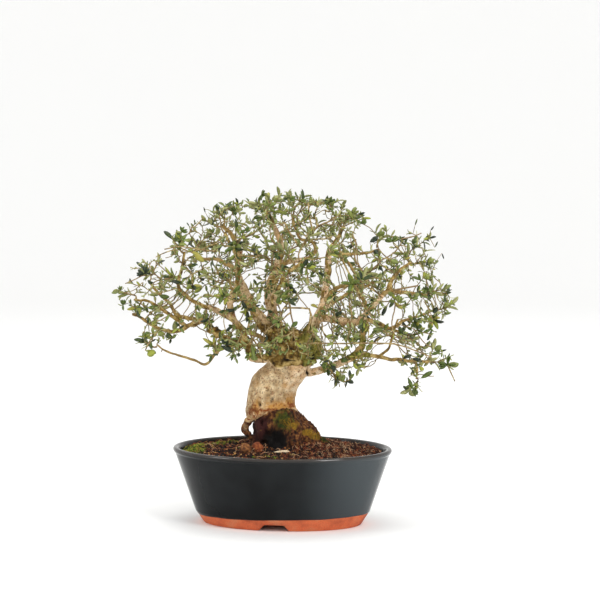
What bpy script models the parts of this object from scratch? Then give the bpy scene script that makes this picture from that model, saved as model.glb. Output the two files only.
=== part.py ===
"""An olive bonsai in an oval glazed pot: trunk with its limbs, leafy sprays, soil, drain screens and pot.

Sizes are in millimetres and become metres where a mesh is made. The origin is on the table under the
middle of the pot, +X runs along the pot's long side, -Y is the front and +Z is up.
"""

import math

import bmesh
import bpy
import numpy as np

MM = 0.001
CLEARANCE = 0.3  # air between two pieces that touch
FLAT_ANGLE = math.radians(0.5)  # faces that meet flatter than this are one face

# The pot: an oval whose wall leans out, on a bare foot ring with a gap at the front and the back
POT_HALF_LENGTH = 118.5
POT_HALF_WIDTH = 85.0
POT_HEIGHT = 82.0
POT_SIDES = 48
LIP_HEIGHT = 6.0
LIP_REACH = 2.2  # how far the lip stands out past the wall
WALL = 7.0
FLOOR_TOP = 14.0
CLAY_TOP = 13.0  # the glaze ends here, and the clay below it is bare
CLAY_INSET = 24.0  # the wall is set in this far from the rim's outline at the glaze's end
FOOT_INSET = 32.5
FOOT_WIDTH = 9.0
FOOT_HEIGHT = 7.0
GAP_BOTTOM, GAP_TOP, GAP_HEIGHT = 33.0, 21.0, 6.4  # the gap in the foot ring
DRAIN_RADIUS = 8.0
DRAIN_OFFSET = 38.0

# A plastic screen lies over each drain hole
SCREEN_SIDE = 27.0
SCREEN_THICK = 1.4
SCREEN_STEP = 5.2  # from the screen's middle to the middle of each hole
SCREEN_HOLE = 7.0

# The soil fills the pot and rises towards the trunk
SOIL_EDGE = 75.5
SOIL_INSET = 9.2  # from the rim's outline to the lip's inside
SOIL_RISE = 8.5
SOIL_BUMPS = 0.7

# The front view, in which the tree's routes are given: turned from the pot, and a little from above
FRONT_TURN = math.radians(9.0)
VIEW_RISE = math.radians(5.0)
VIEW_DISTANCE = 2200.0
VIEW_AIM = 160.0

# Trunk and root base: (height, middle across, middle back, half width, half depth) in the front view
TRUNK_SIDES = 20
TRUNK_RINGS = [
    (109, -15, 0, 12, 11),
    (113, -15, 0, 21, 18),
    (118, -13, 0, 26, 22),
    (127, -13.5, 0, 26, 23),
    (137, -12, 0, 25.6, 23),
    (147, -9.5, 0, 26, 22.5),
    (156, -4.5, 0, 28, 23),
    (164, 1.5, 1, 27, 22.5),
    (172, 8, 3, 24, 21.5),
    (181, 12, 3, 26.5, 23),
    (190, 14.5, 2, 28, 24.5),
    (198, 15.5, 1, 24, 22),
    (205, 14, 0, 14, 14),
]
ROOT_SIDES = 28
ROOT_RINGS = [
    (46, 2, 2, 22, 20),
    (62, 3, 2, 30, 26),
    (77, 4, 2, 36, 29),
    (84, 4, 1, 35, 28),
    (91, 2, 1, 33, 27.5),
    (98, 2.5, 0, 31.5, 26.5),
    (106, 0.5, -1, 29.5, 25.5),
    (113, -1, -2, 24, 23.5),
    (118, 1, -4, 17.5, 21.5),
    (122, 3, -6, 12.5, 18.5),
    (125, 3, -6, 7, 12),
]
ROOT_LOBES = [  # direction in degrees in the front view, reach at the soil, half width in degrees
    (0, 25, 12),
    (42, 7, 13),
    (82, 5, 12),
    (122, 8, 13),
    (170, 5, 12),
    (208, 6, 12),
    (248, 8, 13),
    (292, 6, 13),
    (328, 9, 11),
]
LOBE_TOP = 116.0
TRUNK_LUMPS = [(3, 0.030, 0.055), (5, 0.022, 0.11), (8, 0.012, 0.19)]  # waves round, share, turn per mm

# Roots that stand clear of the base: (half thickness at both ends, route as across, up, back)
ROOTS = {
    "root_loop": ((3.3, 2.8), [
        (-29, 115, -5), (-36, 110, -7), (-39, 105, -8), (-39.3, 101, -9), (-37, 96.5, -9), (-30, 91, -9)]),
    "root_column": ((3.4, 4.2), [(-22, 116, -12), (-25, 108, -15), (-22, 99, -17), (-19, 89, -18)]),
}

# Limbs: (half thickness at both ends, route as across, up, back in the front view)
LIMB_SIDES = 5
LIMB_TAPER = 0.85  # below 1, a limb thins fastest where it leaves the trunk
LIMBS = {
    "left_low": ((4.0, 1.8), [
        (-2, 177.5, -8), (-30, 178, -16), (-35, 189, -20), (-41, 204, -24), (-51, 220, -28),
        (-55, 238, -32), (-49, 256, -36), (-45, 275, -42), (-51, 296, -48), (-60, 312, -52)]),
    "left_far": ((3.8, 1.5), [
        (-38, 196, -22), (-48, 193.5, -8), (-56, 194.5, 2), (-64.5, 201.5, 10), (-75, 208.5, 15),
        (-85, 217, 20), (-102, 210, 24), (-118, 205, 27), (-133, 209, 30), (-149, 218, 34), (-160, 224, 38)]),
    "left_cross": ((3.2, 1.8), [
        (2, 184, 2), (-8, 187.5, 2), (-20, 198.6, 0), (-37.7, 208, -8), (-51, 220, -26)]),
    "left_high": ((2.3, 1.2), [
        (-102, 210, 24), (-122, 225, 18), (-134, 233, 14), (-144, 238, 12), (-158, 240, 16)]),
    "left_fork": ((2.4, 1.3), [
        (-85, 217, 20), (-102, 220, 22), (-113.5, 225, 20), (-119, 234.5, 18), (-126, 241, 14),
        (-134, 249, 10), (-143, 260, 6)]),
    "left_trail": ((1.9, 0.9), [
        (-48, 193.5, -8), (-58, 190, -10), (-70, 184, -12), (-81, 172, -14), (-93, 176, -18),
        (-109, 181, -20), (-123, 186, -22), (-134, 193, -22)]),
    "left_mid": ((3.0, 1.3), [
        (-51, 220, -28), (-72, 231, -34), (-86, 236, -38), (-99, 243, -40), (-110, 256, -38),
        (-107, 275, -30), (-103, 292, -22)]),
    "left_lead": ((5.6, 1.8), [
        (6, 190, 2), (-21, 213, 4), (-32, 234, 6), (-42, 255, 8), (-48, 271, 8), (-45, 293, 4),
        (-54, 309, 2), (-64, 320, 0)]),
    "left_arm": ((2.6, 1.3), [(-48, 271, 8), (-66, 281, 16), (-83, 283, 22), (-97, 290, 26)]),
    "middle_lead": ((6.2, 2.0), [
        (12, 190, 0), (-4, 212, -2), (-13, 236, -4), (-13, 255, -6), (-5, 277, -6), (-1, 298, -4),
        (-9, 320, -2), (-15, 334, -2)]),
    "middle_top": ((2.8, 1.3), [
        (-5, 277, -6), (10, 281, -2), (24, 282.5, 3), (34, 288, 6), (36, 297, 8), (30, 303, 8),
        (20, 305, 8), (14, 318, 10), (10, 330, 12)]),
    "right_lead": ((5.4, 1.9), [
        (20, 190, 0), (32, 212, 2), (43, 231, 6), (46, 250, 8), (49, 271, 10), (50, 290, 10),
        (59, 304, 8), (66, 318, 6)]),
    "right_top": ((2.2, 1.2), [(50, 290, 10), (70, 287, 22), (89, 289, 30), (103, 293, 34)]),
    "right_bough": ((3.9, 1.5), [
        (38, 222, 4), (60, 219, -8), (78, 217, -18), (92, 228, -24), (103, 241, -28), (114, 250, -30),
        (128, 250, -30), (143, 248, -28), (156, 245, -26)]),
    "right_high": ((2.8, 1.4), [(114, 250, -30), (118, 262, -22), (126, 272, -14), (138, 281, -8)]),
    "right_low": ((4.5, 1.5), [
        (8, 160, 2), (31, 162.5, -2), (49.8, 167.5, -4), (67, 174, -6), (81, 181.5, -6), (88, 182, -4),
        (103, 178.6, 2), (131, 174.6, 10), (157, 173, 18)]),
    "right_riser": ((3.2, 1.5), [
        (73, 177, -6), (85, 189, -2), (87, 203, 4), (90, 219, 12), (89, 233, 20), (84.6, 246.6, 26),
        (78, 266.6, 32), (63, 289, 36)]),
    "right_mid": ((2.6, 1.3), [(90, 219, 12), (101, 215, 20), (116, 208, 28), (131, 202, 34)]),
    "right_far": ((2.0, 1.2), [(116, 208, 28), (131, 216, 36), (148, 222, 42), (164, 228, 46)]),
    "right_drop": ((1.2, 0.9), [(143, 174, 14), (145, 163, 12), (144, 155, 10)]),
    "right_spur": ((1.6, 1.0), [(103, 178.6, 2), (115, 190, -10), (119, 204, -18), (124.6, 220, -22)]),
    "back_left": ((4.0, 1.6), [(4, 192, 8), (-22, 222, 34), (-48, 250, 62), (-70, 266, 86)]),
    "back_middle": ((4.6, 1.6), [(10, 190, 8), (-6, 214, 30), (-10, 244, 58), (6, 288, 84)]),
    "back_right": ((4.0, 1.6), [(20, 190, 8), (34, 214, 34), (56, 236, 62), (98, 256, 86)]),
    "front_left": ((3.4, 1.6), [(6, 192, -8), (-16, 216, -36), (-38, 240, -64), (-54, 256, -84)]),
    "front_middle": ((3.8, 1.6), [
        (12, 190, -8), (-2, 212, -30), (-8, 240, -56), (4, 268, -74), (22, 284, -80)]),
    "front_right": ((3.6, 1.6), [
        (22, 192, -8), (33, 212, -30), (45, 240, -52), (62, 256, -70), (84, 262, -84)]),
}

# Where each leafy spray ends, as across, up, back in the front view
SPRAY_ENDS = [
    (-149, 281, 2), (-176, 247, 30), (-157, 226, -4), (-154, 198, -24), (-78, 196, -26),
    (-110, 310, -16), (-88, 326, 14), (-72, 341, 0), (-32, 346, 14),
    (-14, 355, -6), (4, 358, 12), (26, 352, -12), (46, 348, 16),
    (74, 334, 8), (112, 312, 38), (146, 302, 20), (163, 280, -16),
    (172, 252, -22), (188, 236, 50), (166, 214, 20), (147, 214, 4), (146, 192, 40),
    (174, 172, 26), (142, 138, 6), (62, 146, -14), (98, 200, -26), (-128, 256, 34),
    (-124, 268, -46), (-92, 262, -66), (-48, 296, -84), (-84, 296, 60), (-8, 306, -66),
    (34, 318, -54), (30, 276, -110), (72, 262, -112), (98, 276, -62), (122, 236, -66),
    (-34, 226, -84), (-66, 246, -112), (-90, 268, 108), (-30, 288, 108), (12, 322, 100),
    (62, 296, 94), (112, 268, 99), (36, 246, 112), (130, 240, 78), (-126, 232, 76),
    (8, 242, -118),
]
SPRAY_HALF = (1.1, 0.6)  # half thickness of a branchlet at both ends
TIP_LEAF = 9.0  # how far the last leaves reach past the branchlet's own end
GREEN_END = 28.0  # the stretch of a branchlet that bears leaves
SIDE_TWIG = (0.12, 17.0)  # (place along the green end, length)
SIDE_HALF = (0.8, 0.55)
LEAF_PAIRS = [0.3, 0.66, 0.97]  # places of the leaf pairs along the green end
LEAF_LENGTH = (10.0, 14.0)
LEAF_HALF_WIDTH = (1.9, 2.5)
LEAF_THICK = 0.9
LEAF_SPREAD = math.radians(50)
LEAF_ARCH = 0.8
TRIES = 60
NEAR_SOCKETS = 12  # a spray starts at one of this many sockets
SHORTEST_SPRAY = 16.0
SHORT_PENALTY = 30.0  # a socket nearer than the shortest spray counts as this much farther away
SEED = 11

# Stones on the soil: (across, back, half length, half width, half height, turn in degrees)
STONES = {
    "stone_brown": (-38.5, -33, 6.4, 5.4, 6.6, 20),
    "stone_orange": (-25.5, -31, 6.4, 4.8, 6.2, -20),
    "bark_chip": (0, -46, 8.6, 3.2, 1.9, 24),
}
STONE_SUNK = 0.28  # the share of a stone's height that is in the soil

COLOURS = {  # base colour, roughness
    "glaze": ((0.028, 0.045, 0.050), 0.18),
    "clay": ((0.52, 0.16, 0.07), 0.85),
    "bark": ((0.42, 0.32, 0.20), 0.85),
    "leaf": ((0.17, 0.24, 0.10), 0.55),
    "soil": ((0.13, 0.055, 0.025), 0.95),
    "screen": ((0.02, 0.02, 0.02), 0.6),
    "stone": ((0.45, 0.17, 0.06), 0.9),
    "chip": ((0.72, 0.62, 0.48), 0.8),
}


def in_pot_frame(across, back):
    """A level place of the front view, turned into the pot's frame."""
    c, s = math.cos(FRONT_TURN), math.sin(FRONT_TURN)
    return across * c - back * s, across * s + back * c


def from_front(across, up, back):
    """The place of what shows at (across, up) in the front view and lies that far back from the middle."""
    share = 1 + back / VIEW_DISTANCE
    x, y = in_pot_frame(across * share, back)
    rise = (up - VIEW_AIM) * share - back * math.sin(VIEW_RISE)
    return np.array((x, y, VIEW_AIM + rise / math.cos(VIEW_RISE)))


def material(name):
    """The material of that name, made once."""
    made = bpy.data.materials.get(name)
    if made:
        return made
    colour, roughness = COLOURS[name]
    made = bpy.data.materials.new(name)
    made.use_nodes = True
    shader = made.node_tree.nodes["Principled BSDF"]
    shader.inputs["Base Color"].default_value = (*colour, 1)
    shader.inputs["Roughness"].default_value = roughness
    made.diffuse_color = (*colour, 1)
    return made


def add_object(name, body, material_name):
    """An object from a body, which is points in millimetres and faces as lists of point numbers."""
    points, faces = body
    mesh = bpy.data.meshes.new(name)
    mesh.from_pydata((np.asarray(points) * MM).tolist(), [], faces)
    mesh.materials.append(material(material_name))
    obj = bpy.data.objects.new(name, mesh)
    bpy.context.scene.collection.objects.link(obj)
    return obj


def shade(obj, sharp_degrees=40):
    """Rounds the shading, except over edges sharper than this."""
    obj.data.shade_smooth()
    obj.data.set_sharp_from_angle(angle=math.radians(sharp_degrees))


def apply_modifiers(obj):
    """Puts the object's modifiers into its mesh."""
    bpy.context.view_layer.update()
    depsgraph = bpy.context.evaluated_depsgraph_get()
    made = bpy.data.meshes.new_from_object(obj.evaluated_get(depsgraph))
    obj.modifiers.clear()
    old, obj.data = obj.data, made
    bpy.data.meshes.remove(old)
    made.name = obj.name
    join_flat_faces(made)


def join_flat_faces(mesh):
    """Drops the edges that a union or a cut leaves across flat faces."""
    work = bmesh.new()
    work.from_mesh(mesh)
    bmesh.ops.dissolve_limit(work, angle_limit=FLAT_ANGLE, verts=work.verts, edges=work.edges)
    bmesh.ops.triangulate(work, faces=work.faces)
    work.to_mesh(mesh)
    work.free()


def union(first, others):
    """Joins closed objects into the first one, and removes the others."""
    group = bpy.data.collections.new("joined")
    for other in others:
        group.objects.link(other)
    join = first.modifiers.new("join", "BOOLEAN")
    join.operation = "UNION"
    join.operand_type = "COLLECTION"
    join.collection = group
    join.solver = "MANIFOLD"
    apply_modifiers(first)
    for other in others:
        bpy.data.objects.remove(other)
    bpy.data.collections.remove(group)


def cut(obj, cutters):
    """Takes closed cutters out of the object, and removes them."""
    for cutter in cutters:
        taken = obj.modifiers.new("cut", "BOOLEAN")
        taken.operation = "DIFFERENCE"
        taken.object = cutter
    apply_modifiers(obj)
    for cutter in cutters:
        bpy.data.objects.remove(cutter)


def loft(rings):
    """A closed body through rings of the same number of points, with flat ends."""
    count = len(rings[0])
    faces = [list(range(count))[::-1]]
    for level in range(len(rings) - 1):
        low, high = level * count, (level + 1) * count
        for i in range(count):
            j = (i + 1) % count
            faces.append([low + i, low + j, high + j])
            faces.append([low + i, high + j, high + i])
    last = (len(rings) - 1) * count
    faces.append(list(range(last, last + count)))
    return np.concatenate(rings), faces


def oval(half_length, half_width, height, sides):
    """A level oval ring."""
    angle = np.arange(sides) * 2 * math.pi / sides
    return np.stack([half_length * np.cos(angle), half_width * np.sin(angle), np.full(sides, height)], axis=1)


def box(low, high):
    """A closed box between two corners."""
    corners = [(low[0], low[1]), (high[0], low[1]), (high[0], high[1]), (low[0], high[1])]
    return loft([np.array([(x, y, z) for x, y in corners]) for z in (low[2], high[2])])


def unit(vector):
    """The vector at length 1."""
    return vector / np.linalg.norm(vector)


def tube(route, radii, sides):
    """A closed tube along a route, its rings carried on without twist."""
    route = np.asarray(route, float)
    steps = np.diff(route, axis=0)
    steps /= np.linalg.norm(steps, axis=1)[:, None]
    ahead = np.vstack([steps[:1], steps[:-1] + steps[1:], steps[-1:]])
    side = np.cross(ahead[0], (0.3, 0.2, 1.0))
    angle = np.arange(sides) * 2 * math.pi / sides
    rings = []
    for middle, way, radius in zip(route, ahead, radii):
        way = unit(way)
        side = unit(side - way * (side @ way))
        other = np.cross(way, side)
        rings.append(middle + radius * (np.outer(np.cos(angle), side) + np.outer(np.sin(angle), other)))
    return loft(rings)


def wall_inset(height):
    """How far the outside of the pot's wall is set in from the rim's outline at a height."""
    below_lip = POT_HEIGHT - LIP_HEIGHT - height
    return LIP_REACH + below_lip * (CLAY_INSET - LIP_REACH) / (POT_HEIGHT - LIP_HEIGHT - CLAY_TOP)


def pot_ring(inset, height):
    """A ring of the pot or the soil, set in from the rim's outline."""
    return oval(POT_HALF_LENGTH - inset, POT_HALF_WIDTH - inset, height, POT_SIDES)


def drain_hole(side):
    """A cutter for the drain hole on one side of the middle."""
    rings = [oval(DRAIN_RADIUS, DRAIN_RADIUS, z, 16) for z in (FOOT_HEIGHT - 2, FLOOR_TOP + 2)]
    return add_object("drain_cutter", loft([ring + (side * DRAIN_OFFSET, 0, 0) for ring in rings]), "clay")


def foot_gap():
    """A cutter for the gaps in the foot ring: a bar with sloping sides from front to back."""
    lean = (GAP_BOTTOM - GAP_TOP) / 2 / GAP_HEIGHT
    bottom = GAP_BOTTOM / 2 + 2 * lean
    outline = [(-bottom, -2.0), (bottom, -2.0), (GAP_TOP / 2, GAP_HEIGHT), (-GAP_TOP / 2, GAP_HEIGHT)]
    rings = [np.array([(x, y, z) for x, z in outline]) for y in (POT_HALF_WIDTH, -POT_HALF_WIDTH)]
    return add_object("gap_cutter", loft(rings), "clay")


def make_pot():
    """The fired pot: foot ring, leaning wall with a rounded lip, and a floor with two drain holes."""
    profile = [
        (FOOT_INSET + FOOT_WIDTH + 0.6, FOOT_HEIGHT),
        (FOOT_INSET + FOOT_WIDTH, 0.0),
        (FOOT_INSET + 1.0, 0.0),
        (FOOT_INSET, 1.0),
        (CLAY_INSET + 1.0, CLAY_TOP),
        (CLAY_INSET, CLAY_TOP + 0.6),
        (wall_inset(POT_HEIGHT - LIP_HEIGHT), POT_HEIGHT - LIP_HEIGHT),
        (0.5, POT_HEIGHT - 4.4),
        (0.0, POT_HEIGHT - 2.4),
        (0.9, POT_HEIGHT - 0.7),
        (3.0, POT_HEIGHT),
        (5.6, POT_HEIGHT - 0.6),
        (7.2, POT_HEIGHT - 2.6),
        (wall_inset(SOIL_EDGE - 6) + WALL, SOIL_EDGE - 6),
        (wall_inset(FLOOR_TOP + 6) + WALL, FLOOR_TOP + 6),
        (wall_inset(FLOOR_TOP) + WALL + 6, FLOOR_TOP),
    ]
    pot = add_object("pot", loft([pot_ring(inset, height) for inset, height in profile]), "glaze")
    pot.data.materials.append(material("clay"))
    for face in pot.data.polygons:
        face.material_index = 1 if face.center.z < CLAY_TOP * MM else 0
    cut(pot, [drain_hole(-1), drain_hole(1), foot_gap()])
    shade(pot)


def make_screen(side):
    """A plastic screen with square holes over the drain hole on one side."""
    half = SCREEN_SIDE / 2
    bottom = FLOOR_TOP + CLEARANCE
    top = bottom + SCREEN_THICK
    middle = side * DRAIN_OFFSET
    name = "drain_screen_left" if side < 0 else "drain_screen_right"
    screen = add_object(name, box((middle - half, -half, bottom), (middle + half, half, top)), "screen")
    cutters = []
    for across in (-1, 1):
        for back in (-1, 1):
            x = middle + across * SCREEN_STEP
            y = back * SCREEN_STEP
            low = (x - SCREEN_HOLE / 2, y - SCREEN_HOLE / 2, bottom - 1)
            high = (x + SCREEN_HOLE / 2, y + SCREEN_HOLE / 2, top + 1)
            cutters.append(add_object("hole_cutter", box(low, high), "screen"))
    cut(screen, cutters)


def soil_height(x, y):
    """The height of the soil's surface: a low dome with soft bumps."""
    out = np.hypot(x / POT_HALF_LENGTH, y / POT_HALF_WIDTH)
    bumps = np.sin(x * 0.13 + y * 0.05) * np.sin(y * 0.17 - x * 0.04)
    edge = np.clip((0.9 - out) / 0.2, 0, 1)
    return SOIL_EDGE + SOIL_RISE * np.clip(1 - (out / 0.92) ** 2, 0, 1) + SOIL_BUMPS * bumps * edge


def make_soil():
    """The soil: it follows the pot's inside, and has plain holes for the roots, the stones and the screens."""
    gap = CLEARANCE * 1.3
    profile = [
        (wall_inset(FLOOR_TOP) + WALL + 6 + gap, FLOOR_TOP + CLEARANCE),
        (wall_inset(FLOOR_TOP + 6) + WALL + gap, FLOOR_TOP + 6 + CLEARANCE),
        (wall_inset(SOIL_EDGE - 6) + WALL + gap, SOIL_EDGE - 6),
        (SOIL_INSET + gap, SOIL_EDGE),
    ]
    rings = [pot_ring(inset, height) for inset, height in profile]
    for share in (0.82, 0.6, 0.25):
        ring = rings[3] * (share, share, 0)
        ring[:, 2] = soil_height(ring[:, 0], ring[:, 1])
        rings.append(ring)
    soil = add_object("soil", loft(rings), "soil")
    cutters = [add_object("root_cutter", root_base(CLEARANCE * 1.6), "soil")]
    for numbers in STONES.values():
        cutters.append(add_object("stone_cutter", stone(numbers, CLEARANCE * 1.4), "soil"))
    half = SCREEN_SIDE / 2 + CLEARANCE
    for middle in (-DRAIN_OFFSET, DRAIN_OFFSET):
        low = (middle - half, -half, FLOOR_TOP - 1)
        high = (middle + half, half, FLOOR_TOP + 2 * CLEARANCE + SCREEN_THICK)
        cutters.append(add_object("screen_cutter", box(low, high), "soil"))
    cut(soil, cutters)
    shade(soil)


def stone(numbers, grow):
    """A rounded lump at its place on the soil, larger all round by grow."""
    across, back, half_length, half_width, half_height, turn = numbers
    x, y = in_pot_frame(across, back)
    middle = np.array((x, y, soil_height(x, y) + half_height * (1 - 2 * STONE_SUNK)))
    turn = math.radians(turn)
    rings = []
    for level in (-0.92, -0.6, 0.0, 0.6, 0.92):
        wide = math.sqrt(1 - level * level)
        ring = oval(wide * (half_length + grow), wide * (half_width + grow), level * (half_height + grow), 10)
        ring[:, 0] *= 1 + 0.12 * np.sin(3 * np.arange(10) + level)
        c, s = math.cos(turn), math.sin(turn)
        ring = ring @ np.array(((c, s, 0), (-s, c, 0), (0, 0, 1)))
        rings.append(middle + ring)
    return loft(rings)


def make_stones():
    """Two stones and a bark chip, each in its hollow in the soil."""
    for name, numbers in STONES.items():
        shade(add_object(name, stone(numbers, 0.0), "chip" if name == "bark_chip" else "stone"), 60)


def body_rings(rows, sides, grow, lobes):
    """Rings of the trunk or the root base: ovals with lumps, and with root lobes towards the soil."""
    angle = np.arange(sides) * 2 * math.pi / sides
    rings = []
    for height, across, back, half_width, half_depth in rows:
        lumps = 1 + sum(share * np.sin(waves * angle + height * turn) for waves, share, turn in TRUNK_LUMPS)
        reach = np.zeros(sides)
        low = np.clip((LOBE_TOP - height) / (LOBE_TOP - SOIL_EDGE), 0, 1) ** 1.6
        for direction, length, width in lobes:
            away = (np.degrees(angle) - direction + 180) % 360 - 180
            reach += length * low * np.exp(-((away / width) ** 2))
        u = across + (half_width * lumps + reach + grow) * np.cos(angle)
        v = back + (half_depth * lumps + reach + grow) * np.sin(angle)
        x, y = in_pot_frame(u, v)
        rings.append(np.stack([x, y, np.full(sides, float(height))], axis=1))
    return rings


def root_base(grow=0.0):
    """The root base from its stock in the soil up to the neck inside the trunk."""
    rings = body_rings(ROOT_RINGS, ROOT_SIDES, grow, ROOT_LOBES)
    rings[0][:, 2] -= grow
    return loft(rings)


def limb_route(points):
    """A limb's hand-set points, in the pot's frame."""
    return np.array([from_front(*point) for point in points])


def limb_radii(thickness, count):
    """Half thicknesses along a limb, which thins a little faster at first."""
    along = np.linspace(0, 1, count) ** LIMB_TAPER
    return thickness[0] + (thickness[1] - thickness[0]) * along


def make_tree():
    """One grown piece: trunk, root base with its clear roots, and every limb."""
    tree = add_object("tree", loft(body_rings(TRUNK_RINGS, TRUNK_SIDES, 0, [])), "bark")
    others = [add_object("root_base", root_base(), "bark")]
    for name, (thickness, points) in {**ROOTS, **LIMBS}.items():
        radii = limb_radii(thickness, len(points))
        others.append(add_object(name, tube(limb_route(points), radii, LIMB_SIDES), "bark"))
    union(tree, others)
    shade(tree, 60)


def leaf(base, way, flat, length, half_width):
    """One leaf blade: a four-cornered outline round a thicker middle, arched along its length."""
    side = unit(np.cross(flat, way))
    up = np.cross(way, side)
    outline = [(0, 0), (0.45, 1), (1, 0), (0.45, -1)]
    points = [base + way * (t * length) + side * (w * half_width) + up * (LEAF_ARCH * 4 * t * (1 - t))
              for t, w in outline]
    middle = base + way * (0.5 * length) + up * LEAF_ARCH
    points.append(middle + up * (LEAF_THICK / 2))
    points.append(middle - up * (LEAF_THICK / 2))
    faces = []
    for i in range(4):
        j = (i + 1) % 4
        faces.append([j, i, 4])
        faces.append([i, j, 5])
    return np.array(points), faces


class Space:
    """What already stands in the crown, as rods with a half thickness."""

    def __init__(self):
        self.starts, self.ends, self.radii = [], [], []

    def add(self, start, end, radius):
        self.starts.append(start)
        self.ends.append(end)
        self.radii.append(radius)

    def is_free(self, start, end, radius, trim=0.0):
        """Whether a rod keeps its clearance to all that stands here, less a share at each one's start."""
        starts, ends = np.array(self.starts), np.array(self.ends)
        starts = starts + trim * (ends - starts)
        way, others, apart = end - start, ends - starts, start - starts
        own = way @ way
        their = np.einsum("ij,ij->i", others, others)
        mixed = others @ way
        ahead = apart @ way
        beside = np.einsum("ij,ij->i", others, apart)
        s = np.clip((mixed * beside - ahead * their) / np.maximum(own * their - mixed**2, 1e-9), 0, 1)
        t = np.clip((mixed * s + beside) / their, 0, 1)
        s = np.clip((mixed * t - ahead) / own, 0, 1)
        gaps = np.linalg.norm(apart + s[:, None] * way - t[:, None] * others, axis=1)
        return bool(np.all(gaps > np.array(self.radii) + radius + CLEARANCE))


def standing_tree():
    """The space that the trunk and the limbs take up, and the places where a spray can start."""
    space = Space()
    middles = [np.array((*in_pot_frame(row[1], row[2]), row[0])) for row in TRUNK_RINGS]
    for low, high, row in zip(middles, middles[1:], TRUNK_RINGS):
        space.add(low, high, row[3])
    sockets = []
    for thickness, points in LIMBS.values():
        route = limb_route(points)
        radii = limb_radii(thickness, len(route))
        for i in range(len(route) - 1):
            space.add(route[i], route[i + 1], max(radii[i], radii[i + 1]))
            if i == 0:
                continue
            for share in (0.15, 0.4, 0.65, 0.9):
                place = route[i] + share * (route[i + 1] - route[i])
                radius = radii[i] + share * (radii[i + 1] - radii[i])
                sockets.append((place, unit(route[i + 1] - route[i]), radius))
    return space, sockets


def branchlet_route(socket, end, rng):
    """A curved route from just off a limb to a spray's end."""
    place, along, radius = socket
    way = end - place
    out = way - along * (way @ along)
    out = unit(unit(out) + 0.25 * rng.normal(size=3) * (1, 1, 0.4))
    out = unit(out - along * (out @ along))
    start = place + out * (radius + CLEARANCE + 0.15)
    end = end - unit(end - start) * TIP_LEAF
    length = np.linalg.norm(end - start)
    knee = start + out * length * 0.4 + np.array((0, 0, 0.06 * length))
    t = np.linspace(0, 1, 5)[:, None]
    return (1 - t) ** 2 * start + 2 * t * (1 - t) * knee + t**2 * end


def find_route(end, sockets, space, rng):
    """The first clear route to a spray's end, from the sockets nearest to it."""
    far = np.array([np.linalg.norm(end - place) for place, _, _ in sockets])
    order = np.argsort(far + SHORT_PENALTY * (far < SHORTEST_SPRAY))
    near = [sockets[i] for i in order[:NEAR_SOCKETS]]
    for attempt in range(TRIES):
        route = branchlet_route(near[attempt % len(near)], end, rng)
        off_limb = route[0] + unit(route[1] - route[0]) * 1.5 * SPRAY_HALF[0]
        rods = list(zip([off_limb, *route[1:-1]], route[1:]))
        if all(space.is_free(low, high, SPRAY_HALF[0]) for low, high in rods):
            return route
    return None


def leaf_pair(place, ahead, turn, space, taken, rng):
    """Two leaves that face each other across a twig, each only where it stands free."""
    first = unit(np.cross(ahead, (0.2, 0.1, 1.0)))
    second = np.cross(ahead, first)
    blades = []
    for half_turn in (0, math.pi):
        for shift in (0.0, 0.5, -0.5, 1.0, -1.0):
            angle = turn + half_turn + shift
            out = first * math.cos(angle) + second * math.sin(angle)
            way = unit(ahead * math.cos(LEAF_SPREAD) + out * math.sin(LEAF_SPREAD) + (0, 0, 0.12))
            length = rng.uniform(*LEAF_LENGTH)
            half_width = rng.uniform(*LEAF_HALF_WIDTH)
            tip = place + way * length
            free_half = place + way * 0.45 * length
            if not space.is_free(place, tip, half_width):
                continue
            if not taken.is_free(free_half, tip, half_width, 0.45):
                continue
            flat = unit(ahead * math.sin(LEAF_SPREAD) - out * math.cos(LEAF_SPREAD) + 0.2 * rng.normal(size=3))
            blades.append(leaf(place, way, flat, length, half_width))
            taken.add(place, tip, half_width)
            break
    return blades


def side_twig(place, ahead, turn, space, taken):
    """The two ends of a side twig that stands free, or None."""
    across = unit(np.cross(ahead, (0.2, 0.1, 1.0)))
    length = SIDE_TWIG[1]
    for step in range(6):
        angle = turn + step * math.pi / 3
        out = across * math.cos(angle) + np.cross(ahead, across) * math.sin(angle)
        tip = place + unit(ahead * 0.7 + out * 0.75 + (0, 0, 0.15)) * length
        free_half = place + (tip - place) * 0.45
        if space.is_free(place, tip, SIDE_HALF[0]) and taken.is_free(free_half, tip, SIDE_HALF[0], 0.45):
            return np.array((place, tip))
    return None


def make_spray(name, end, sockets, space, rng):
    """One leafy spray: a branchlet with a side twig and their leaves, fused into one body."""
    route = find_route(end, sockets, space, rng)
    if route is None:
        return
    taken = Space()
    for low, high in zip(route, route[1:]):
        taken.add(low, high, SPRAY_HALF[0])
    twigs = [tube(route, np.linspace(*SPRAY_HALF, len(route)), 4)]
    blades = []
    turn = rng.uniform(0, 2 * math.pi)
    for share in LEAF_PAIRS:
        place, ahead = on_green_end(route, share)
        blades += leaf_pair(place, ahead, turn, space, taken, rng)
        turn += math.pi / 2
    ends = side_twig(*on_green_end(route, SIDE_TWIG[0]), turn, space, taken)
    if ends is not None:
        twigs.append(tube(ends, SIDE_HALF, 3))
        taken.add(*ends, SIDE_HALF[0])
        ahead = unit(ends[1] - ends[0])
        blades += leaf_pair(ends[1] - ahead * 0.8, ahead, turn, space, taken, rng)
    objects = [add_object(name, twig, "bark") for twig in twigs]
    objects += [add_object(name, blade, "leaf") for blade in blades]
    union(objects[0], objects[1:])
    shade(objects[0], 50)
    for start, stop, radius in zip(taken.starts, taken.ends, taken.radii):
        space.add(start, stop, radius)


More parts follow.
